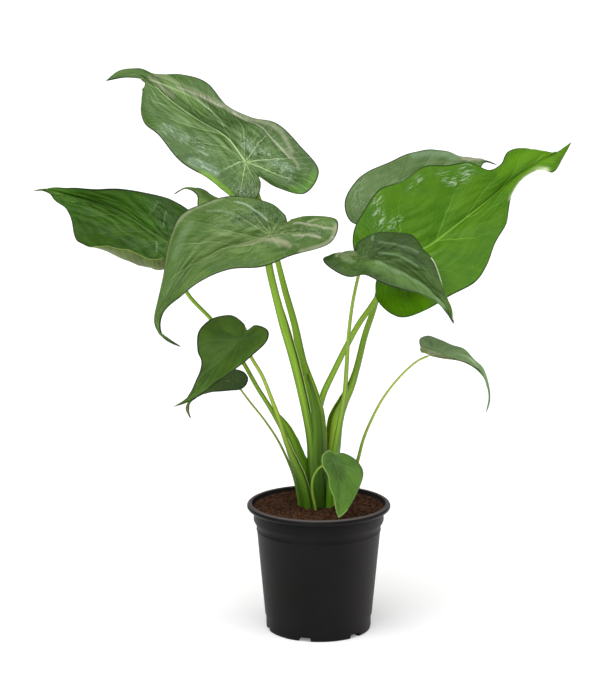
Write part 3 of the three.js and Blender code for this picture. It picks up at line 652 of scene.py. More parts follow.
def sheet(name, columns, rows):
    """A flat sheet of cells, to be shaped. Its corners lie from -0.5 to 0.5, and its map runs from 0 to 1."""
    deselect()
    bpy.ops.mesh.primitive_grid_add(x_subdivisions=columns, y_subdivisions=rows, size=1, location=(0, 0, 0))
    return named(name)


def sheet_shares(corner):
    """How far across and along the flat sheet a corner is, from 0 to 1."""
    return corner.co.x + 0.5, corner.co.y + 0.5


def weld(piece):
    """Joins corners that lie on each other, and drops the faces that this closes."""
    edit(piece)
    bpy.ops.mesh.remove_doubles(threshold=WELD_GAP * MM)
    bpy.ops.mesh.dissolve_degenerate(threshold=WELD_GAP * MM)
    leave_edit()


def shade(piece, degrees=None):
    choose(piece)
    if degrees is None:
        bpy.ops.object.shade_smooth()
    else:
        bpy.ops.object.shade_smooth_by_angle(angle=math.radians(degrees))


def settle(piece, node, materials):
    """Puts a finished piece in the place of its solid."""
    for material in materials:
        piece.data.materials.append(material)
    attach(piece, "root")
    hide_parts(node)


# --- Material helpers

class Tree:
    """Adds nodes to a material or a node group and links them."""

    def __init__(self, tree):
        self.tree = tree

    def put(self, kind, inputs=None, **settings):
        node = self.tree.nodes.new(kind)
        for name, value in settings.items():
            setattr(node, name, value)
        for socket, value in (inputs or {}).items():
            self.join(value, node.inputs[socket])
        return node

    def join(self, value, socket):
        if isinstance(value, bpy.types.NodeSocket):
            self.tree.links.new(value, socket)
        else:
            socket.default_value = value

    def math(self, operation, first, second=0.0, third=0.0):
        node = self.put("ShaderNodeMath", {0: first, 1: second, 2: third}, operation=operation)
        return node.outputs[0]

    def off(self, value, middle):
        """How far a value is from middle."""
        return self.math("ABSOLUTE", self.math("SUBTRACT", value, middle))

    def mix(self, share, first, second):
        node = self.put("ShaderNodeMix", {0: share, 6: first, 7: second}, data_type="RGBA")
        return node.outputs[2]

    def tint(self, colour, tone, mask, strength):
        """Lays a tone over the colour where the mask is, as strongly as told."""
        return self.mix(self.math("MULTIPLY", mask, strength), colour, tone)

    def ramp(self, value, low, high, start=0.0, end=1.0):
        """Goes softly from start to end while the value goes from low to high."""
        inputs = {0: value, 1: low, 2: high, 3: start, 4: end}
        return self.put("ShaderNodeMapRange", inputs, interpolation_type="SMOOTHSTEP").outputs[0]

    def noise(self, vector, scale, detail=3.0, roughness=0.55, distortion=0.0):
        inputs = {"Vector": vector, "Scale": scale, "Detail": detail, "Roughness": roughness}
        return self.put("ShaderNodeTexNoise", {**inputs, "Distortion": distortion}).outputs[0]

    def place(self):
        """Where a spot is on its object, in metres."""
        return self.put("ShaderNodeTexCoord").outputs["Object"]

    def map(self, name):
        return self.put("ShaderNodeUVMap", uv_map=name).outputs[0]

    def split(self, vector):
        return self.put("ShaderNodeSeparateXYZ", {0: vector}).outputs

    def stretched(self, vector, first, second):
        """A map with its two ways scaled apart."""
        return self.put("ShaderNodeMapping", {0: vector, 3: (first, second, 1.0)}).outputs[0]

    def group(self, group, **inputs):
        """A node group, with its inputs by name."""
        return self.put("ShaderNodeGroup", inputs, node_tree=group).outputs


def new_group(name, inputs, outputs):
    """An empty node group; its inputs and outputs are all numbers."""
    group = bpy.data.node_groups.new(name, "ShaderNodeTree")
    for way, sockets in (("INPUT", inputs), ("OUTPUT", outputs)):
        for socket in sockets:
            group.interface.new_socket(name=socket, in_out=way, socket_type="NodeSocketFloat")
    start = group.nodes.new("NodeGroupInput")
    end = group.nodes.new("NodeGroupOutput")
    return group, Tree(group), start.outputs, end.inputs


def new_material(name):
    material = bpy.data.materials.new(name)
    material.use_nodes = True
    tree = Tree(material.node_tree)
    skin = material.node_tree.nodes["Principled BSDF"]
    return material, tree, skin


def bump(tree, skin, height, depth):
    """Raises the surface by height times depth, in millimetres."""
    node = tree.put("ShaderNodeBump", {"Height": height, "Distance": depth * MM, "Strength": 1.0})
    tree.join(node.outputs[0], skin.inputs["Normal"])


def roughen(tree, skin, mask, more, base):
    """Makes the skin as rough as base, and more where the mask is."""
    tree.join(tree.math("MULTIPLY_ADD", mask, more, base), skin.inputs["Roughness"])


def set_skin(skin, **values):
    for name, value in values.items():
        skin.inputs[name.replace("_", " ")].default_value = value


# --- Shared effects

# How many of a thing there are in a metre, for the noises that bend the veins, and how many fine veins lie
# from one side vein to the next.
VEIN_DRIFT = 55.0
FINE_DRIFT = 160.0
FINE_VEINS = 5.0

# How much a blade's map of veins is stretched for each kind of mark: along the veins' count and across.
CRINKLE_STRETCH = (1.6, 13.0)
STREAK_STRETCH = (11.0, 2.6)
STROKE_STRETCH = (7.0, 30.0)


def vein_lines_group():
    """Masks that follow a blade's own veins: the midrib, the side veins, finer ones between, the margin."""
    outputs = ("Rib", "Side", "Fine", "Swell", "Margin", "Crinkle", "Streaks", "Strokes")
    group, tree, start, end = new_group("vein_lines", ("Wobble",), outputs)
    lines = tree.map("veins")
    line_parts = tree.split(lines)
    reach_parts = tree.split(tree.map("reach"))
    place = tree.place()
    drift = tree.math("SUBTRACT", tree.noise(place, VEIN_DRIFT, 2.0), 0.5)
    along = tree.math("MULTIPLY_ADD", drift, start["Wobble"], line_parts[0])
    across = line_parts[1]
    gap = reach_parts[1]

    def off_line(value):
        """How far value is from a whole number, 0 on it and 0.5 halfway to the next."""
        return tree.math("SUBTRACT", 0.5, tree.off(tree.math("FRACT", value), 0.5))

    off_vein = tree.math("MULTIPLY", off_line(along), gap)
    width = tree.ramp(across, 0.0, 1.0, 1.15, 0.35)
    side = tree.ramp(tree.math("DIVIDE", off_vein, width), 0.35, 1.25, 1.0, 0.0)
    fade = tree.ramp(across, 0.1, 0.8, 1.0, 0.2)
    tree.join(tree.math("MULTIPLY", side, fade), end["Side"])

    finer = tree.math("MULTIPLY", along, FINE_VEINS)
    wave = tree.math("MULTIPLY", tree.math("SUBTRACT", tree.noise(place, FINE_DRIFT, 2.0), 0.5), 1.5)
    off_finer = off_line(tree.math("ADD", finer, wave))
    off_fine = tree.math("MULTIPLY", off_finer, tree.math("DIVIDE", gap, FINE_VEINS))
    tree.join(tree.ramp(off_fine, 0.15, 0.9, 1.0, 0.0), end["Fine"])

    tree.join(tree.ramp(reach_parts[0], 0.55, 1.15, 1.0, 0.0), end["Rib"])
    tree.join(tree.math("MULTIPLY", off_line(along), 2.0), end["Swell"])
    off_edge = tree.split(tree.map("edge"))[0]
    tree.join(tree.ramp(off_edge, 0.9, 2.1, 1.0, 0.0), end["Margin"])

    # Wrinkles that run from vein to vein, tight near the joint and dying out towards the margin.
    folds = tree.stretched(lines, *CRINKLE_STRETCH)
    wrinkle = tree.ramp(tree.noise(folds, 1.0, 2.5, 0.5, 0.5), 0.3, 0.7)
    near = tree.ramp(across, 0.08, 0.75, 1.0, 0.25)
    tree.join(tree.math("MULTIPLY", wrinkle, near), end["Crinkle"])
    streaks = tree.noise(tree.stretched(lines, *STREAK_STRETCH), 1.0, 4.0, 0.65, 0.8)
    tree.join(tree.ramp(streaks, 0.34, 0.66), end["Streaks"])
    strokes = tree.noise(tree.stretched(lines, *STROKE_STRETCH), 1.0, 2.0, 0.5, 1.2)
    tree.join(tree.ramp(strokes, 0.5, 0.6), end["Strokes"])
    return group


def mottle_group():
    """Uneven tone in a living surface: broad clouds, fine flecks and small cells."""
    group, tree, start, end = new_group("mottle", ("Broad", "Fleck"), ("Clouds", "Flecks", "Cells"))
    place = tree.place()
    clouds = tree.noise(place, start["Broad"], 4.0, 0.6, 0.6)
    tree.join(tree.ramp(clouds, 0.3, 0.7), end["Clouds"])
    flecks = tree.noise(place, start["Fleck"], 5.0, 0.65)
    tree.join(tree.ramp(flecks, 0.35, 0.68), end["Flecks"])
    inputs = {"Vector": place, "Scale": start["Fleck"]}
    cells = tree.put("ShaderNodeTexVoronoi", inputs, feature="DISTANCE_TO_EDGE").outputs["Distance"]
    tree.join(tree.ramp(cells, 0.0, 0.25), end["Cells"])
    return group


VEIN_LINES = vein_lines_group()
MOTTLE = mottle_group()


# --- Materials

# The tone of the painted glints: pale highlights on the crests of the wrinkles.
PAINTED_GLINT = (0.52, 0.64, 0.46, 1)
VEIN_WOBBLE = 0.22
LEAF_GLOW = (0.5, 1.0, 0.2)
STALK_GLOW = (0.6, 1.0, 0.2)

# Where the tone of the stalks changes. Heights in metres: the green near the soil ends, the light green
# begins, the painted lit line and the wings' painted light tops begin, and the papery edge begins. Round a
# stalk, in turns from the right over the back: the sides with painted shade, away from the front and the
# back, and the painted lit line.
FOOT_ENDS = (0.15, 0.31)
LIGHT_BEGINS = (0.27, 0.46)
LIT_BEGINS = (0.29, 0.36)
PAINTED_LIGHT_TOP_BEGINS = (0.25, 0.305)
PAPERY_BEGINS = (0.16, 0.19)
PAINTED_SHADE_SIDES = (0.09, 0.19)
LIT_PLACE = 0.67
LIT_WIDTH = (0.02, 0.09)

# The map of a stalk goes from 0 to 1 round it, and on from 1 to 2 across a sheath's wing.
WING_SIDE = (1.0, 1.01)
WING_EDGE = (1.93, 1.99)


def blade_top_material(name, look):
    """Upper side of a blade: waxy green, paler at the veins with painted shade beside them, painted glints,
    marks with painted light and shade, and a thin margin of its own tone.
    """
    deep, light, vein, margin = [paint(code) for code in look[:4]]
    wax, gloss, veins, midrib, crinkle = look[4:]
    material, tree, skin = new_material(name)
    lines = tree.group(VEIN_LINES, Wobble=VEIN_WOBBLE)
    tone = tree.group(MOTTLE, Broad=26.0, Fleck=420.0)
    colour = tree.mix(tone["Clouds"], deep, light)
    colour = tree.tint(colour, light, tone["Flecks"], 0.2)
    # Painted shade: darker green beside the sunken veins, in their grooves.
    painted_vein_shade = tree.ramp(lines["Swell"], 0.0, 0.5, 1.0, 0.0)
    colour = tree.tint(colour, deep, painted_vein_shade, 0.1 + 0.35 * veins)
    colour = tree.tint(colour, deep, lines["Streaks"], 0.4)
    colour = tree.tint(colour, vein, lines["Crinkle"], 0.3 * crinkle)
    # The marks hold real tones and painted light: painted highlights, reflections and shade.
    marks = tree.put("ShaderNodeAttribute", attribute_name="marks").outputs
    broken = tree.math("MULTIPLY_ADD", lines["Streaks"], -0.35, 1.0)
    colour = tree.tint(colour, marks["Color"], marks["Alpha"], broken)
    # Painted highlights: pale glints where the marks call for them, broken into strokes.
    painted_glints = tree.put("ShaderNodeAttribute", attribute_name="painted_glints").outputs["Fac"]
    painted_glints = tree.math("MULTIPLY", painted_glints, lines["Strokes"])
    colour = tree.tint(colour, PAINTED_GLINT, painted_glints, 0.5)
    colour = tree.tint(colour, vein, lines["Fine"], 0.18 * veins)
    colour = tree.tint(colour, vein, lines["Side"], 0.9 * veins)
    colour = tree.tint(colour, vein, lines["Rib"], midrib)
    colour = tree.tint(colour, margin, lines["Margin"], tree.math("SUBTRACT", 1.0, marks["Alpha"]))
    tree.join(colour, skin.inputs["Base Color"])
    roughen(tree, skin, lines["Side"], 0.1, tree.math("MULTIPLY_ADD", tone["Flecks"], 0.08, wax))
    grooves = tree.math("MULTIPLY_ADD", lines["Side"], 0.3, tree.math("MULTIPLY", lines["Rib"], 0.6))
    grooves = tree.math("MULTIPLY_ADD", lines["Streaks"], 0.16, grooves)
    raised = tree.math("MULTIPLY_ADD", lines["Crinkle"], 0.8 * crinkle, tree.math("MULTIPLY", painted_glints, 0.4))
    bump(tree, skin, tree.math("SUBTRACT", raised, grooves), 0.9)
    set_skin(skin, Specular_IOR_Level=gloss)
    set_skin(skin, Subsurface_Weight=0.08, Subsurface_Scale=0.003, Subsurface_Radius=LEAF_GLOW)
    return material


def blade_back_material(name, tones):
    """Under side of a blade: matt and pale, with the ribs standing out."""
    deep, light, vein = [paint(code) for code in tones]
    material, tree, skin = new_material(name)
    lines = tree.group(VEIN_LINES, Wobble=VEIN_WOBBLE)
    tone = tree.group(MOTTLE, Broad=30.0, Fleck=380.0)
    colour = tree.mix(tone["Clouds"], deep, light)
    for line, strength in (("Fine", 0.25), ("Side", 0.8), ("Rib", 0.9)):
        colour = tree.tint(colour, vein, lines[line], strength)
    tree.join(colour, skin.inputs["Base Color"])
    roughen(tree, skin, tone["Flecks"], 0.1, 0.5)
    ribs = tree.math("MULTIPLY_ADD", lines["Fine"], 0.25, lines["Side"])
    bump(tree, skin, tree.math("MULTIPLY_ADD", tone["Cells"], 0.1, ribs), 0.7)
    set_skin(skin, Specular_IOR_Level=0.3)
    set_skin(skin, Subsurface_Weight=0.12, Subsurface_Scale=0.003, Subsurface_Radius=LEAF_GLOW)
    return material


def lightened(tone, factor):
    """A tone with its light scaled."""
    return tuple(factor * value for value in tone[:3]) + (1,)


def stalk_material(name, tones):
    """Stalk: smooth and juicy, streaked along its length, darker near the soil, with painted shade on its
    sides, a painted lit line and painted light on the wings' tops; a sheath's edge is papery.
    """
    deep, light, foot, edge = [paint(code) for code in tones]
    material, tree, skin = new_material(name)
    lengthwise = tree.map("length")
    streaks = tree.ramp(tree.noise(tree.stretched(lengthwise, 7.0, 0.5), 1.0, 3.0, 0.6), 0.32, 0.68)
    turn = tree.split(lengthwise)[0]
    up = tree.split(tree.place())[2]
    tone = tree.group(MOTTLE, Broad=40.0, Fleck=520.0)
    colour = tree.mix(streaks, deep, light)
    colour = tree.tint(colour, light, tone["Flecks"], 0.18)
    colour = tree.mix(tree.ramp(up, *FOOT_ENDS, 0.9, 0.0), colour, foot)
    colour = tree.mix(tree.ramp(up, *LIGHT_BEGINS, 0.0, 0.85), colour, light)
    # Painted shade: the stalk darker at its sides, away from the front and the back.
    from_front = tree.off(tree.off(turn, 0.5), 0.25)
    on_tube = tree.ramp(turn, *WING_SIDE, 1.0, 0.0)
    painted_shade_sides = tree.ramp(from_front, *PAINTED_SHADE_SIDES, 0.0, 0.75)
    colour = tree.tint(colour, lightened(deep, 0.55), painted_shade_sides, on_tube)
    lit = tree.ramp(tree.off(turn, LIT_PLACE), *LIT_WIDTH, 0.5, 0.0)
    colour = tree.tint(colour, lightened(light, 1.3), lit, tree.ramp(up, *LIT_BEGINS))
    # Painted light: the top of a wing made paler to meet the lit stalk above.
    painted_light_top = tree.ramp(up, *PAINTED_LIGHT_TOP_BEGINS, 0.0, 0.6)
    colour = tree.tint(colour, light, tree.ramp(turn, *WING_SIDE), painted_light_top)
    papery = tree.ramp(turn, *WING_EDGE, 0.0, 0.6)
    colour = tree.tint(colour, edge, papery, tree.ramp(up, *PAPERY_BEGINS))
    tree.join(colour, skin.inputs["Base Color"])
    roughen(tree, skin, streaks, 0.12, 0.34)
    bump(tree, skin, tree.math("MULTIPLY_ADD", tone["Cells"], 0.2, streaks), 0.16)
    set_skin(skin, Specular_IOR_Level=0.18)
    set_skin(skin, Subsurface_Weight=0.2, Subsurface_Scale=0.004, Subsurface_Radius=STALK_GLOW)
    return material


def grainy_material(name, scales, tones, layers, rough, depth, gloss=0.5):
    """A mottled surface with a fine grain. scales: clouds and flecks in a metre; layers: paints over the
    mottle; rough: how much the flecks add, and the least; depth: of the grain, in millimetres."""
    material, tree, skin = new_material(name)
    tone = tree.group(MOTTLE, Broad=scales[0], Fleck=scales[1])
    colour = layers(tree, tone, tree.mix(tone["Clouds"], *tones))
    tree.join(colour, skin.inputs["Base Color"])
    roughen(tree, skin, tone["Flecks"], *rough)
    bump(tree, skin, tree.math("ADD", tone["Cells"], tone["Flecks"]), depth)
    set_skin(skin, Specular_IOR_Level=gloss)
    return material


def plastic_material():
    """Pot: thin black plastic with a faint grain, and painted light that makes its right side greyer."""

    def layers(tree, tone, colour):
        colour = tree.tint(colour, (0.014, 0.013, 0.013, 1), tone["Flecks"], 0.2)
        # Painted light: the plastic greyer towards its right side, where the side lamp's sheen falls.
        painted_light_right = tree.ramp(tree.split(tree.place())[0], 0.02, 0.075, 0.0, 0.7)
        return tree.mix(painted_light_right, colour, (0.021, 0.0172, 0.0182, 1))

    tones = (0.0036, 0.0034, 0.0030, 1), (0.0058, 0.0049, 0.0051, 1)
    return grainy_material("pot_plastic_black", (18.0, 900.0), tones, layers, (0.12, 0.42), 0.04, 0.09)


def rim_material():
    """Rolled rim of the pot: the same plastic, polished by handling, with a painted highlight along its top.
    """

    def layers(tree, _, colour):
        up = tree.split(tree.place())[2]
        # Painted highlight: a pale band along the top of the rim.
        painted_rim_highlight = tree.ramp(up, (POT_HEIGHT - 1.7) * MM, (POT_HEIGHT - 0.7) * MM, 0.0, 0.8)
        return tree.mix(painted_rim_highlight, colour, (0.105, 0.09, 0.088, 1))

    tones = (0.0036, 0.0033, 0.0033, 1), (0.007, 0.0062, 0.0064, 1)
    return grainy_material("pot_rim_black", (30.0, 800.0), tones, layers, (0.1, 0.34), 0.03, 0.1)


def soil_material():
    """Soil: moist dark peat, redder where it is dry, with a few pale fibres."""

    def layers(tree, tone, colour):
        place = tree.place()
        lumps = tree.ramp(tree.noise(place, 330.0, 3.0, 0.6), 0.4, 0.62)
        colour = tree.tint(colour, (0.17, 0.075, 0.036, 1), lumps, 0.75)
        colour = tree.tint(colour, (0.012, 0.006, 0.004, 1), tone["Flecks"], 0.35)
        fibres = tree.ramp(tree.noise(place, 1400.0, 1.0, 0.4, 2.0), 0.68, 0.78)
        return tree.tint(colour, (0.2, 0.115, 0.06, 1), fibres, 0.5)

    tones = (0.014, 0.0062, 0.0028, 1), (0.06, 0.024, 0.0105, 1)
    return grainy_material("peat_soil", (90.0, 620.0), tones, layers, (0.15, 0.8), 0.5, 0.12)


def rootstock_material():
    """Rootstock: brown corky skin."""

    def layers(tree, tone, colour):
        return tree.tint(colour, (0.25, 0.15, 0.08, 1), tone["Flecks"], 0.4)

    tones = (0.06, 0.03, 0.014, 1), (0.17, 0.09, 0.045, 1)
    return grainy_material("corky_rootstock", (120.0, 700.0), tones, layers, (0.15, 0.75), 0.6)


def floor_material():
    material, tree, skin = new_material("pale_floor")
    tone = tree.group(MOTTLE, Broad=0.6, Fleck=40.0)
    colour = tree.mix(tone["Clouds"], (0.86, 0.86, 0.86, 1), (0.88, 0.88, 0.88, 1))
    tree.join(colour, skin.inputs["Base Color"])
    set_skin(skin, Roughness=0.9, Specular_IOR_Level=0.1, Emission_Color=(1, 1, 1, 1), Emission_Strength=0.2)
    return material


# --- Pot

def pot_profile():
    """The wall's outline as (radius, height), from the middle of the pad round the wall and back."""
    outside = [
        (0, 0),
        (PAD_RADIUS, 0),
        (PAD_RADIUS + PAD_SLOPE, FLOOR_LIFT),
        (FOOT_RING_INNER, FLOOR_LIFT),
        (FOOT_RING_INNER + 1, 0),
        (FOOT_RADIUS - 2, 0),
        (FOOT_RADIUS - 0.6, 0.8),
        (FOOT_RADIUS, FLOOR_LIFT),
        (FOOT_RADIUS, FOOT_TOP),
        (RIDGE_RADIUS, RIDGE_HEIGHT),
    ]
    slope = (BODY_TOP_RADIUS - RIDGE_RADIUS) / (BODY_TOP - RIDGE_HEIGHT)
    ring_radius = RIDGE_RADIUS + slope * (RING_HEIGHT - RIDGE_HEIGHT)
    ring = [
        (ring_radius - slope * 1.4, RING_HEIGHT - 1.4),
        (ring_radius + RING_PROUD, RING_HEIGHT - 0.5),
        (ring_radius + RING_PROUD, RING_HEIGHT + 0.3),
        (ring_radius + slope * 1.2, RING_HEIGHT + 1.2),
    ]
    collar = [
        (BODY_TOP_RADIUS, BODY_TOP),
        (COLLAR_RADIUS - 0.8, COLLAR_BOTTOM - 1),
        (COLLAR_RADIUS, COLLAR_BOTTOM + 0.6),
        (COLLAR_RADIUS, COLLAR_TOP),
        (COLLAR_RADIUS + 0.8, COLLAR_TOP + 1),
        (RIM_RADIUS - 3.4, POT_HEIGHT - RIM_HANG - 0.2),
        (RIM_RADIUS - 2, POT_HEIGHT - RIM_HANG + 0.1),
    ]
    lip = [
        (
            RIM_RADIUS - LIP_WIDTH + LIP_WIDTH * math.cos(turn),
            POT_HEIGHT - LIP_HEIGHT + LIP_HEIGHT * math.sin(turn),
        )
        for turn in [math.radians(degrees) for degrees in range(-38, 121, 13)]
    ]
    inside = [
        (MOUTH_RADIUS, POT_HEIGHT - 2),
        (COLLAR_RADIUS - POT_WALL, COLLAR_TOP + 1),
        (COLLAR_RADIUS - POT_WALL, COLLAR_BOTTOM + 1),
        (BODY_TOP_RADIUS - POT_WALL, BODY_TOP),
        (RIDGE_RADIUS - POT_WALL - RIDGE_BEAD, RIDGE_HEIGHT),
        (FOOT_RADIUS - POT_WALL, FOOT_TOP),
        (FOOT_RADIUS - POT_WALL, FLOOR_LIFT + POT_WALL),
        (PAD_RADIUS + PAD_SLOPE - POT_WALL, FLOOR_LIFT + POT_WALL),
        (PAD_RADIUS - POT_WALL, POT_WALL),
        (0, POT_WALL),
    ]
    return [*outside, *ring, *collar, *lip, *inside]


def turned(name, profile, steps):
    """A profile of (radius, height) spun round the plant's upright axis, closed and facing outwards."""
    deselect()
    bpy.ops.mesh.primitive_plane_add(size=1, location=(0, 0, 0))
    piece = named(name)
    mesh = piece.data
    mesh.clear_geometry()
    corners = [(radius * MM, 0, height * MM) for radius, height in profile]
    mesh.from_pydata(corners, [(i, i + 1) for i in range(len(profile) - 1)], [])
    edit(piece)
    bpy.ops.mesh.spin(steps=steps, angle=2 * math.pi, center=(0, 0, 0), axis=(0, 0, 1))
    bpy.ops.mesh.select_all(action="SELECT")
    bpy.ops.mesh.remove_doubles(threshold=WELD_GAP * MM)
    bpy.ops.mesh.normals_make_consistent(inside=False)
    leave_edit()
    return piece


def cut(piece, tools):
    """Takes the tools' room out of the piece."""
    for tool in tools:
        apply_modifier(piece, "BOOLEAN", operation="DIFFERENCE", object=tool, solver="EXACT")
        bpy.data.objects.remove(tool)


def spread_round(count, radius, height, first=0.0):
    """Places spread evenly round the pot's axis, each with its turn; first is the turn of the first."""
    for i in range(count):
        turn = first + 2 * math.pi * i / count
        yield turn, (radius * math.cos(turn) * MM, radius * math.sin(turn) * MM, height * MM)


def drain_holes():
    for _, place in spread_round(DRAIN_HOLES, DRAIN_CIRCLE, FLOOR_LIFT):
        deselect()
        bpy.ops.mesh.primitive_cylinder_add(
            vertices=32, radius=DRAIN_RADIUS * MM, depth=DRAIN_TOOL * MM, location=place
        )
        yield bpy.context.active_object


def foot_notches():
    for turn, place in spread_round(FOOT_NOTCHES, FOOT_RADIUS, 0, math.radians(NOTCH_TURN)):
        deselect()
        bpy.ops.mesh.primitive_cube_add(size=1, location=place, rotation=(0, 0, turn))
        tool = bpy.context.active_object
        tool.scale = (NOTCH_TOOL * MM, NOTCH_WIDTH * MM, 2 * NOTCH_DEPTH * MM)
        bpy.ops.object.transform_apply(location=False, rotation=False, scale=True)
        apply_modifier(tool, "BEVEL", width=NOTCH_BEVEL * MM, segments=4)
        yield tool


def make_pot():
    pot = turned("nursery_pot", pot_profile(), POT_STEPS)
    cut(pot, [*foot_notches(), *drain_holes()])
    for face in pot.data.polygons:
        place = face.center / MM
        if place.z > POT_HEIGHT - RIM_HANG - 1 and math.hypot(place.x, place.y) > RIM_INNER:
            face.material_index = 1
    shade(pot, 32)
    settle(pot, "pot", [plastic_material(), rim_material()])


# --- Soil and rootstock

def soil_height(x, y):
    """How far the crumbly top stands over its level at a place, in millimetres."""
    return sum(
        noise.noise(Vector((x * scale, y * scale, seed))) * height for scale, seed, height in SOIL_WAVES
    )


def soil_body():
    """The whole filling: a spun body, whose top is made dense and crumbly."""
    wall = POT_WALL + SOIL_ROOM
    bottom = FLOOR_LIFT + wall
    profile = [
        (0, wall),
        (PAD_RADIUS - wall, wall),
        (PAD_RADIUS + PAD_SLOPE - wall, bottom),
        (FOOT_RADIUS - wall, bottom),
        (FOOT_RADIUS - wall, FOOT_TOP),
        (RIDGE_RADIUS - wall - RIDGE_BEAD, RIDGE_HEIGHT),
        (BODY_TOP_RADIUS - wall, BODY_TOP),
        (SOIL_RADIUS, COLLAR_BOTTOM + 1),
        (SOIL_RADIUS, COLLAR_TOP + 0.8),
        (SOIL_EDGE_RADIUS, SOIL_LEVEL + 0.6),
        *[(SOIL_EDGE_RADIUS * (1 - step / SOIL_RINGS), SOIL_LEVEL) for step in range(1, SOIL_RINGS + 1)],
    ]
    soil = turned("soil_filling", profile, SOIL_STEPS)
    for corner in soil.data.vertices:
        if corner.co.z > (SOIL_LEVEL - 1) * MM:
            x, y = corner.co.x / MM, corner.co.y / MM
            edge = smooth(math.hypot(x, y), SOIL_RADIUS - SOIL_EDGE_WIDTH, SOIL_RADIUS)
            corner.co.z += (soil_height(x, y) * (1 - edge) + SOIL_EDGE_RISE * edge) * MM
    return soil


def crumb(draw, tool):
    """One crumb: a small uneven lump, half sunk in the soil's top."""
    radius = (SOIL_RADIUS - 2) * math.sqrt(draw.random())
    turn = draw.uniform(0, 2 * math.pi)
    x, y = radius * math.cos(turn), radius * math.sin(turn)
    size = CRUMB_SIZE + CRUMB_SPREAD * draw.random() ** 2
    spot = Vector((x, y, SOIL_LEVEL + soil_height(x, y) + size * draw.uniform(-0.3, 0.35)))
    squash = Vector((draw.uniform(0.7, 1.3), draw.uniform(0.7, 1.3), draw.uniform(0.5, 0.9)))
    spin = draw.uniform(0, math.pi)
    seed = Vector((draw.uniform(0, 50), 0, 0))
    corners = []
    for corner in tool:
        swell = 1 + CRUMB_UNEVENNESS * noise.noise(corner * 1.7 + seed)
        shaped = Vector(corner[i] * squash[i] * size * swell for i in range(3))
        shaped = Vector((
            shaped.x * math.cos(spin) - shaped.y * math.sin(spin),
            shaped.x * math.sin(spin) + shaped.y * math.cos(spin),
            shaped.z,
        ))
        corners.append((spot + shaped) * MM)
    return corners


def soil_crumbs():
    """The loose crumbs on top, all in one mesh."""
    deselect()
    bpy.ops.mesh.primitive_ico_sphere_add(subdivisions=1, radius=1, location=(0, 0, 0))
    piece = bpy.context.active_object
    tool = [corner.co.copy() for corner in piece.data.vertices]
    faces = [tuple(face.vertices) for face in piece.data.polygons]
    draw = random.Random(CRUMB_SEED)
    corners = []
    joined = []
    for _ in range(CRUMBS):
        first = len(corners)
        corners.extend(crumb(draw, tool))
        joined.extend(tuple(first + i for i in face) for face in faces)
    piece.data.clear_geometry()
    piece.data.from_pydata(corners, [], joined)
    return piece


def make_soil():
    soil = soil_body()
    choose(soil_crumbs(), soil)
    bpy.ops.object.join()
    shade(soil, 60)
    settle(soil, "soil", [soil_material()])


def make_rootstock():
    """A squat corm with rings left by old leaves."""
    deselect()
    bpy.ops.mesh.primitive_uv_sphere_add(segments=64, ring_count=48, radius=1, location=(0, 0, 0))
    corm = bpy.context.active_object
    corm.name = "ringed_rootstock"
    centre = Vector(ROOTSTOCK_CENTRE)
    for corner in corm.data.vertices:
        ring = 1 + ROOTSTOCK_RING_DEPTH * math.cos(corner.co.z * ROOTSTOCK_RINGS)
        rough = 1 + ROOTSTOCK_ROUGHNESS * noise.noise(corner.co * 5)
        shaped = Vector(corner.co[i] * ROOTSTOCK_SIZE[i] * rough for i in range(3))
        corner.co = (centre + Vector((shaped.x * ring, shaped.y * ring, shaped.z))) * MM
    shade(corm)
    settle(corm, "rootstock", [rootstock_material()])


# --- Blades

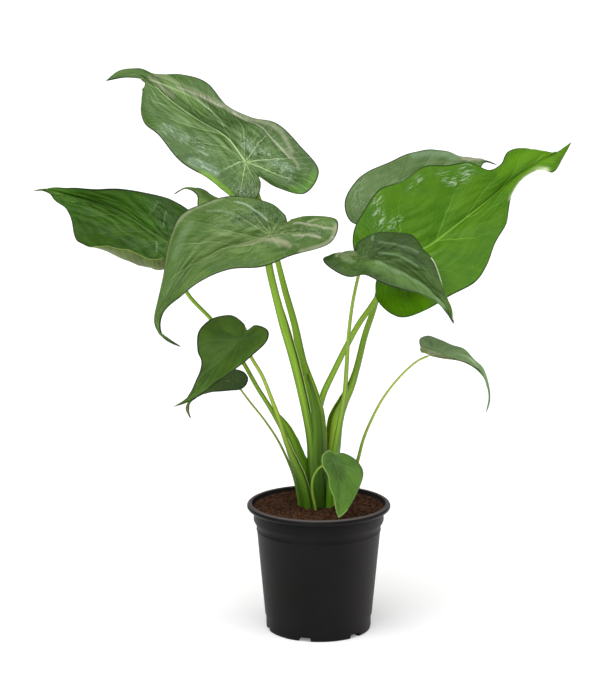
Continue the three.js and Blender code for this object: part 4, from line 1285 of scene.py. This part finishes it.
class Blade:
    """The shape of one blade, as places on it. A spot is side, row (0 to SPAN) and across (0 to 1)."""

    def __init__(self, leaf, finish):
        self.finish = finish
        self.facing = Vector(leaf["facing"]).normalized()
        self.midrib = Route([leaf["joint"], *leaf["midrib"], leaf["tip"]])
        self.points = {side: [leaf["notch"], *leaf[side], leaf["tip"]] for side in SEEDS}
        self.margin = {side: Route(points) for side, points in self.points.items()}
        self.veins = {side: [(0, 0), *finish.get(side, COMMON_VEINS), (SPAN, SPAN)] for side in SEEDS}
        self.cell_rows = finish["cells"][1]
        self.ends = {(side, j): self.row_ends(side, j) for side in SEEDS for j in range(self.cell_rows + 1)}
        self.spots = {}

    def curl(self, side, share):
        points = self.points[side]
        place = share * (len(points) - 1)
        index = min(int(place), len(points) - 2)
        first, second = (points[i][3] if len(points[i]) > 3 else 0 for i in (index, index + 1))
        return first + (second - first) * (place - index)

    def row(self, side, row):
        """Both ends of a row, and how far its margin curls up."""
        last = len(self.points[side]) - 1
        along = max(0, row - LOBE_ROWS) / SIDE_ROWS
        lobe = min(1, row / LOBE_ROWS)
        share = (lobe * LOBE_POINTS + along * (last - LOBE_POINTS)) / last
        return self.midrib.at(along), self.margin[side].at(share), self.curl(side, share) * MM

    def row_of(self, j):
        return SPAN * j / self.cell_rows

    def row_ends(self, side, j):
        """Row j of the sheet and the rows just before and after it, with the step between those."""
        row = self.row_of(j)
        low, high = max(0, row - ROW_STEP), min(SPAN, row + ROW_STEP)
        return self.row(side, row), self.row(side, low), self.row(side, high), high - low

    def spot(self, ends, across):
        start, end, curl = ends
        lift = curl * max(0, (across - CURL_START) / (1 - CURL_START)) ** 3
        inward = (start - end).normalized()
        length = (end - start).length
        most = length * BOW_LIMIT
        bow = clamp(self.finish["arch"] * MM, -most, most) * 4 * across * (1 - across)
        return start.lerp(end, across) + self.facing * (lift + bow) + inward * lift * CURL_PULL

    def vein(self, side, row, across):
        """Where a spot lies among the veins, counted in veins, and the rows from one vein to the next."""
        rows = [foot + (head - foot) * across**VEIN_BEND if head > LOBE_ROWS else head
                for foot, head in self.veins[side]]
        index = max(i for i, place in enumerate(rows[:-1]) if place <= row + TINY)
        gap = max(rows[index + 1] - rows[index], TINY)
        return index + clamp((row - rows[index]) / gap), gap

    def measure(self, side, j, across):
        """Place, vein count, gap between veins and reach from the midrib of one spot of the sheet."""
        key = side, j, round(across, 5)
        if key not in self.spots:
            middle, low, high, step = self.ends[side, j]
            place = self.spot(middle, across)
            count, gap_rows = self.vein(side, self.row_of(j), across)
            gap = (self.spot(high, across) - self.spot(low, across)).length / step * gap_rows
            self.spots[key] = place, count, gap, (place - middle[0]).length
        return self.spots[key]

    def rib_width(self, j):
        """Half the midrib's width, from the joint to the tip."""
        return self.finish["rib"] * (1 - RIB_TAPER * smooth(self.row_of(j), LOBE_ROWS, SPAN)) * MM

    def relief(self, side, row, across, count, gap, away):
        """Swell between the veins, puckers near the joint and wave of the margin, the way the blade faces."""
        part = count - int(count)
        inner = smooth(across, 0.0, 0.2) * (1 - smooth(across, 0.82, 1.0))
        swell = min(self.finish["quilt"] * gap, SWELL_LIMIT * MM) * math.sin(math.pi * part) ** 0.8 * inner
        seed = SEEDS[side]
        wave = noise.noise(Vector((row * WAVE_ROWS, seed, across * WAVE_ACROSS)))
        wave *= self.finish["ripple"] * WAVE_HEIGHT * MM
        tip = 1 - smooth(row, SPAN - 4, SPAN - 1)
        crest = 0.5 - abs(noise.noise(Vector((count * PUCKER_VEINS + seed, away / (PUCKER_STEP * MM), seed))))
        near = smooth(away, *[reach * MM for reach in PUCKER_START])
        near *= 1 - smooth(away, PUCKER_REACH / 2 * MM, PUCKER_REACH * MM)
        pucker = crest * near * (1 - smooth(across, 0.75, 0.95)) * self.finish.get("pucker", 0) * MM
        return swell + pucker + wave * smooth(across, 0.1, 0.9) * tip

    def body(self, row, across, beside):
        """Thickness as a share of RIB_THICKNESS; beside is the reach in half widths of the midrib."""
        rib = (1 - smooth(beside, 0.8, 2.6)) * smooth(row, LOBE_ROWS - 1, LOBE_ROWS + 1.5)
        rib *= min(1, self.finish["rib"] / FULL_RIB) * (1 - smooth(row, LOBE_ROWS, SPAN - 1))
        thick = BLADE_THICKNESS + (RIB_THICKNESS - BLADE_THICKNESS) * rib
        thick *= 1 - EDGE_THINNING * smooth(across, 0.93, 1.0)
        thick *= 1 - TIP_THINNING * smooth(row, SPAN - 7, SPAN - 3)
        return clamp(thick / RIB_THICKNESS)


def mark_lines(blade, marks):
    """The marks of one blade, painted light among them, as lines of places on it, each with a ball round it
    to test first.
    """
    lines = []
    for side, path, width, tone, strength, lift in marks:
        places = []
        for (row, across), (next_row, next_across) in zip(path, path[1:]):
            for i in range(MARK_STEPS):
                part = i / MARK_STEPS
                ends = blade.row(side, row + (next_row - row) * part)
                places.append(blade.spot(ends, across + (next_across - across) * part))
        places.append(blade.spot(blade.row(side, path[-1][0]), path[-1][1]))
        centre = sum(places, Vector()) / len(places)
        reach = max((place - centre).length for place in places) + width * MM
        colour = Vector(paint(tone)[:3]) if tone else None
        lines.append((side, places, centre, reach, width * MM, colour, strength, lift * MM))
    return lines


def mark_at(lines, side, place):
    """The tone of the marks and painted light at a place of a blade and how far it covers the green, the
    painted glints and the lift.
    """
    tone = Vector((0, 0, 0))
    cover = painted_glint = lift = 0.0
    for line_side, places, centre, reach, width, colour, strength, height in lines:
        if line_side != side or (place - centre).length > reach:
            continue
        away = reach
        for first, second in zip(places, places[1:]):
            near, part = intersect_point_line(place, first, second)
            near = first if part < 0 else second if part > 1 else near
            away = min(away, (place - near).length)
        inside = 1 - smooth(away, MARK_CORE * width, width)
        share = inside * strength
        if colour is None:
            painted_glint = max(painted_glint, share)
        else:
            tone = tone * (1 - share) + colour * share
            cover = cover * (1 - share) + share
        lift += height * inside
    if cover > 0:
        tone = tone / cover
    return (*tone, cover), painted_glint, lift


def across_of(share):
    """From 0 on the midrib to 1 on the margin, with narrower columns near the midrib."""
    return abs(2 * share - 1) ** COLUMN_EASE


def map_blade(mesh, blade):
    """Gives the flat sheet its maps: place among the veins, reach from the midrib, and from the margin."""
    grid = mesh.uv_layers["UVMap"].data
    maps = {"veins": [], "reach": [], "edge": []}
    for face in mesh.polygons:
        middle = sum(grid[i].uv.x for i in face.loop_indices) / len(face.loop_indices)
        side = "left" if middle < 0.5 else "right"
        for i in face.loop_indices:
            share, along = grid[i].uv
            j = round(along * blade.cell_rows)
            across = across_of(share)
            _, count, gap, away = blade.measure(side, j, across)
            start, end, _ = blade.ends[side, j][0]
            maps["veins"].extend((count, across))
            maps["reach"].extend((away / blade.rib_width(j), gap / MM))
            maps["edge"].extend(((1 - across) * (end - start).length / MM, along * SPAN))
    for name, values in maps.items():
        mesh.uv_layers.new(name=name).data.foreach_set("uv", values)
    mesh.uv_layers.remove(mesh.uv_layers["UVMap"])


def shape_blade(piece, blade, marks):
    """Moves the flat sheet's corners to their places, and notes their relief, marks, painted glints and
    thickness.
    """
    mesh = piece.data
    values = {"relief": [], "marks": [], "painted_glints": []}
    weights = {"inner": [], "body": []}
    for corner in mesh.vertices:
        share, along = sheet_shares(corner)
        j = round(along * blade.cell_rows)
        row = blade.row_of(j)
        side = "left" if share < 0.5 else "right"
        across = across_of(share)
        place, count, gap, away = blade.measure(side, j, across)
        corner.co = place
        tone, painted_glint, lift = mark_at(marks, side, place)
        values["marks"].extend(tone)
        values["painted_glints"].append(painted_glint)
        values["relief"].append(blade.relief(side, row, across, count, gap, away) + lift)
        weights["inner"].append((1 - smooth(across, 0.8, 1.0)) * (1 - smooth(row, SPAN - 2, SPAN - 0.5)))
        weights["body"].append(blade.body(row, across, away / blade.rib_width(j)))
    for name, kind, field in (
        ("relief", "FLOAT", "value"), ("marks", "FLOAT_COLOR", "color"), ("painted_glints", "FLOAT", "value")
    ):
        mesh.attributes.new(name, kind, "POINT").data.foreach_set(field, values[name])
    for name, shares in weights.items():
        group = piece.vertex_groups.new(name=name)
        for i, share in enumerate(shares):
            group.add([i], share, "REPLACE")
    mesh.update()


def make_blade(leaf, finish, top, back):
    blade = Blade(leaf, finish)
    piece = sheet(f"{leaf['name']}_veined_blade", *finish["cells"])
    mesh = piece.data
    map_blade(mesh, blade)
    shape_blade(piece, blade, mark_lines(blade, BLADE_MARKS_AND_PAINTED_LIGHT.get(leaf["name"], [])))
    weld(piece)
    facing = sum((face.normal * face.area for face in mesh.polygons), Vector()).dot(blade.facing)
    if facing < 0:
        mesh.flip_normals()
    apply_modifier(piece, "SMOOTH", factor=0.5, iterations=finish.get("smooth", 8), vertex_group="inner")
    mesh.update()
    lift = [value.value for value in mesh.attributes["relief"].data]
    normals = [corner.normal.copy() for corner in mesh.vertices]
    for corner in mesh.vertices:
        corner.co += normals[corner.index] * (lift[corner.index] + BLADE_THICKNESS / 2 * MM)
    for skin in (top, back):
        mesh.materials.append(skin)
    apply_modifier(
        piece, "SOLIDIFY", thickness=RIB_THICKNESS * MM, offset=-1, vertex_group="body",
        thickness_vertex_group=0, material_offset=1, material_offset_rim=0, use_rim=True,
    )
    shade(piece)
    settle(piece, f"{leaf['name']}_blade", [])


# --- Stalks

def stalk_route(leaf):
    """The stalk's route, its radius at each point, and its length."""
    points = [*leaf["stalk"], (*leaf["joint"], leaf["stalk"][-1][3])]
    route = Route(points)
    marks = [route.at(i / STALK_MARKS) for i in range(STALK_MARKS + 1)]
    length = sum((b - a).length for a, b in zip(marks, marks[1:]))
    return route, [point[3] for point in points], length


def radius_at(radii, share):
    place = clamp(share) * (len(radii) - 1)
    index = min(int(place), len(radii) - 2)
    return (radii[index] + (radii[index + 1] - radii[index]) * (place - index)) * MM


def beside_stalk(route, share, turn, radius):
    """A place beside the stalk's route, square to its way: turn goes from the right towards the back."""
    way = (route.at(share + ROUTE_STEP) - route.at(share - ROUTE_STEP)).normalized()
    back = Vector((0, 1, 0))
    back = (back - way * back.dot(way)).normalized()
    right = back.cross(way).normalized()
    return route.at(share) + (right * math.cos(turn) + back * math.sin(turn)) * radius


def length_map(piece, start, around, along):
    """Turns the sheet's map into one that goes round the stalk from start, and along it."""
    layers = piece.data.uv_layers
    layers[0].name = "length"
    for loop in layers["length"].data:
        loop.uv = (start + loop.uv.x * around, loop.uv.y * along)


def make_stalk(leaf, material):
    route, radii, length = stalk_route(leaf)
    rows = max(12, round(length / MM / STALK_STEP))
    piece = sheet(f"{leaf['name']}_juicy_stalk", STALK_SIDES, rows)
    for corner in piece.data.vertices:
        round_share, share = sheet_shares(corner)
        turn = 2 * math.pi * round_share
        ridge = 1 + 0.03 * math.cos(5 * turn) + 0.02 * math.cos(11 * turn)
        ends = 0.0 if share < TINY or share > 1 - TINY else 1.0
        corner.co = beside_stalk(route, share, turn, radius_at(radii, share) * ridge * ends)
    length_map(piece, 0, 1, length / (MAP_LENGTH * MM))
    weld(piece)
    edit(piece)
    bpy.ops.mesh.normals_make_consistent(inside=False)
    leave_edit()
    wings = [make_wing(leaf, route, radii, *wing) for wing in WINGS.get(leaf["name"], [])]
    if leaf["name"] == SHEATH["leaf"]:
        wings.append(make_sheath(leaf, next(other for other in LEAVES if other["name"] == SHEATH["clasps"])))
    if wings:
        choose(*wings, piece)
        bpy.ops.object.join()
    shade(piece)
    settle(piece, f"{leaf['name']}_stalk", [material])


# A sheath's wing, where a stalk clasps the ones inside it: shares of the stalk's route at its foot and top,
# the way that it stands out (degrees from the right, towards the back), how far it turns round the stalk to
# get there, and its width.
WINGS = {
    "front_left_leaf": [(0.36, 0.7, -15, -100, 2.0)],
    "upper_left_leaf": [(0.14, 0.56, -15, -100, 1.4)],
    "back_right_leaf": [(0.1, 0.56, 200, 100, 4.2)],
    "far_left_leaf": [(0.08, 0.41, 0, 90, 13.0)],
    "small_left_leaf": [(0.1, 0.44, -20, -90, 2.0)],
}
WING_THICKNESS = 0.5
WING_CELLS = (10, 60)


def make_wing(leaf, route, radii, foot, top, way, turned_by, breadth):
    """A thin clasping edge of the sheath, widest low down and dying out at its top."""
    piece = sheet(f"{leaf['name']}_wing", *WING_CELLS)
    for corner in piece.data.vertices:
        across, along = sheet_shares(corner)
        share = foot + (top - foot) * along
        width = breadth * math.sin(math.pi * (0.28 + 0.72 * along)) ** 0.7 * MM if along < 1 else 0
        turn = math.radians(way - turned_by * (1 - across))
        ripple = 1 + 0.12 * noise.noise(Vector((along * 9, across, breadth)))
        radius = radius_at(radii, share) * (0.92 + 0.05 * across) + width * across**1.5 * ripple
        corner.co = beside_stalk(route, share, turn, radius)
    length_map(piece, 1, 1, 1)
    apply_modifier(piece, "SOLIDIFY", thickness=WING_THICKNESS * MM, offset=0)
    return piece


# The broad sheath in the middle: the stalk that bears it, the stalk that it clasps on the left, its heights,
# and the height from which its left edge draws back. It stands SHEATH_FRONT before the stalks and clasps them
# at SHEATH_CLASP times their radius, less SHEATH_EASE at its top.
SHEATH = {"leaf": "upper_left_leaf", "clasps": "front_left_leaf", "foot": 146, "top": 306, "open": 205}
SHEATH_FRONT = 0.8
SHEATH_CLASP = 1.03
SHEATH_EASE = 0.09
SHEATH_CELLS = (24, 60)
SHEATH_MARKS = 300
SHEATH_MARKS_USED = 260
SHEATH_MAP_WIDTH = 0.8


def make_sheath(leaf, other):
    """The front of a broad sheath that clasps two stalks, so that they look like one low down."""
    piece = sheet(f"{leaf['name']}_sheath", *SHEATH_CELLS)
    foot, top = SHEATH["foot"], SHEATH["top"]
    routes = []
    for stalk in (leaf, other):
        route, radii, _ = stalk_route(stalk)
        shares = [i / SHEATH_MARKS for i in range(SHEATH_MARKS_USED)]
        routes.append([(route.at(share), radius_at(radii, share)) for share in shares])
    for corner in piece.data.vertices:
        across, along = sheet_shares(corner)
        height = (foot + (top - foot) * along) * MM
        (right_place, right_radius), (left_place, left_radius) = (
            min(marks, key=lambda mark: abs(mark[0].z - height)) for marks in routes
        )
        back = smooth(height / MM, SHEATH["open"], top)
        clasp = SHEATH_CLASP - SHEATH_EASE * back
        right = right_place.x + right_radius * clasp
        left = left_place.x - left_radius * clasp
        left += (right_place.x - right_radius * clasp - left) * back
        front = min(right_place.y - right_radius, left_place.y - left_radius) - SHEATH_FRONT * MM
        front += (right_place.y - right_radius + SHEATH_FRONT / 2 * MM - front) * back
        turn = math.pi * (1 + across)
        middle, half = (left + right) / 2, (right - left) / 2
        base = left_place.y + (right_place.y - left_place.y) * across
        corner.co = (middle + half * math.cos(turn), base - (front - base) * math.sin(turn), height)
    length_map(piece, 0, SHEATH_MAP_WIDTH, (top - foot) / MAP_LENGTH)
    apply_modifier(piece, "SOLIDIFY", thickness=WING_THICKNESS * MM, offset=0)
    return piece


# --- Colours of the finishes

def paint(code):
    """A colour as the eye sees it, in six hex digits, made linear for the shaders."""
    parts = [int(code[i : i + 2], 16) / 255 for i in (0, 2, 4)]
    linear = [part / 12.92 if part <= 0.04045 else ((part + 0.055) / 1.055) ** 2.4 for part in parts]
    return (*linear, 1.0)


# Upper side of each blade: its tones (deep green, light green, veins and margin), its roughness, how much
# light the skin throws back, how strongly the veins and the midrib show, and how wrinkled the skin is.
TOPS = {
    "upper_left_leaf": ("2d4b13", "466628", "b4cf92", "1a2412", 0.3, 0.22, 0.85, 1.0, 0.9),
    "back_right_leaf": ("3f5b24", "5a733d", "9bb389", "222d1a", 0.42, 0.2, 0.3, 0.4, 1.2),
    "right_leaf": ("356201", "497002", "8ab944", "22360a", 0.34, 0.1, 0.45, 0.45, 0.5),
    "front_left_leaf": ("335312", "4e6c25", "a9be82", "1e2a13", 0.34, 0.2, 0.45, 0.5, 0.9),
    "front_right_leaf": ("1f3806", "395910", "86a066", "16240f", 0.38, 0.2, 0.2, 0.35, 0.6),
    "back_left_leaf": ("698e42", "95ba60", "b0c092", "26331a", 0.36, 0.3, 0.3, 0.8, 0.3),
    "small_left_leaf": ("334f10", "4c6b1e", "4c6f38", "0f1c0a", 0.38, 0.2, 0.15, 0.2, 0.3),
    "far_left_leaf": ("1e3c02", "315304", "6f9648", "161f0c", 0.32, 0.12, 0.25, 0.3, 0.9),
    "low_left_leaf": ("314e18", "496727", "8aa066", "18240f", 0.38, 0.25, 0.2, 0.4, 0.3),
    "small_right_leaf": ("62824c", "8aa271", "9cb38c", "1d2718", 0.38, 0.25, 0.2, 0.4, 0.4),
    "front_small_leaf": ("355614", "50761f", "9db978", "6f8e4a", 0.4, 0.15, 0.1, 0.45, 0.3),
}

# Under sides: deep green, light green and veins.
BACKS = ("415316", "5d6e2f", "94a162")
YOUNG_BACKS = ("6e8b3a", "9ab36e", "c6d29f")

# Stalks: deep and light green, the green near the soil, and the papery edge of a sheath.
COMMON_STALK = ("40660d", "88ae31", "2f570a", "dfe6b4")
STALKS = {
    "back_left_leaf": ("425e0d", "88a32e", "2f570a", "dfe6b4"),
    "front_right_leaf": ("557919", "8ea93e", "4f8a12", "d9dfa8"),
    "right_leaf": ("5a8518", "8bac34", "4a7c10", "d9dfa8"),
    "back_right_leaf": ("507514", "83a434", "98ae34", "cfd87d"),
    "small_left_leaf": ("698621", "a8bf47", "38660c", "dfe6b4"),
    "far_left_leaf": ("4f7914", "90b437", "345f0c", "c9c08c"),
    "low_left_leaf": ("728626", "9fb046", "5e8430", "d9dfa8"),
    "small_right_leaf": ("859a2f", "b5c751", "5a8022", "d9dfa8"),
    "front_small_leaf": ("8fb43a", "bbd55e", "7c9c3c", "dfe6b4"),
}


# --- Setting

# The lamps: strength, and in degrees the width, the lean from overhead and the turn about the upright axis.
LAMPS = {
    "overhead_softbox": (2.9, 75, 26, -25),
    "side_softbox": (0.8, 60, 72, 75),
    "front_softbox": (0.5, 50, 84, -10),
}
ROOM_LOW = 0.16
ROOM_HIGH = 0.42
FLOOR_SIZE = 120


def make_camera():
    camera = bpy.data.cameras.new("front_camera")
    camera.lens = CAMERA_LENS
    camera.sensor_width = 36
    stand = bpy.data.objects.new("front_camera", camera)
    stand.location = millimetres(CAMERA_PLACE)
    stand.rotation_euler = (CAMERA_TILT, 0, 0)
    scene.collection.objects.link(stand)
    scene.camera = stand


def make_light():
    """A soft lamp overhead to the left, weaker ones from the right and the front, in a pale room."""
    for name, (strength, width, lean, turn) in LAMPS.items():
        lamp = bpy.data.lights.new(name, "SUN")
        lamp.energy = strength
        lamp.angle = math.radians(width)
        stand = bpy.data.objects.new(name, lamp)
        stand.rotation_euler = (math.radians(lean), 0, math.radians(turn))
        scene.collection.objects.link(stand)

    world = bpy.data.worlds.new("pale_room")
    scene.world = world
    world.use_nodes = True
    tree = Tree(world.node_tree)
    world.node_tree.nodes.clear()
    way = tree.put("ShaderNodeTexCoord").outputs["Generated"]
    height = tree.ramp(tree.split(way)[2], 0.0, 0.95, ROOM_LOW, ROOM_HIGH)
    seen = tree.put("ShaderNodeLightPath").outputs["Is Camera Ray"]
    strength = tree.math("ADD", tree.math("MULTIPLY", seen, tree.math("SUBTRACT", 1.0, height)), height)
    room = tree.put("ShaderNodeBackground", {"Color": (1, 1, 1, 1), "Strength": strength})
    out = tree.put("ShaderNodeOutputWorld")
    tree.join(room.outputs[0], out.inputs[0])


def make_floor():
    deselect()
    bpy.ops.mesh.primitive_plane_add(size=FLOOR_SIZE, location=(0, 0, 0))
    floor = bpy.context.active_object
    floor.name = "pale_floor"
    floor.data.materials.append(floor_material())


make_camera()
make_light()
make_floor()
make_pot()
make_soil()
make_rootstock()

back_skin = blade_back_material("leaf_back_olive", BACKS)
young_back_skin = blade_back_material("young_leaf_back", YOUNG_BACKS)
for leaf in LEAVES:
    name = leaf["name"]
    top_skin = blade_top_material(f"{name}_green", TOPS[name])
    make_blade(leaf, FINISH[name], top_skin, young_back_skin if name == "right_leaf" else back_skin)
    make_stalk(leaf, stalk_material(f"{name}_stalk_green", STALKS.get(name, COMMON_STALK)))

scene.view_settings.view_transform = "Standard"
scene.view_settings.look = "None"
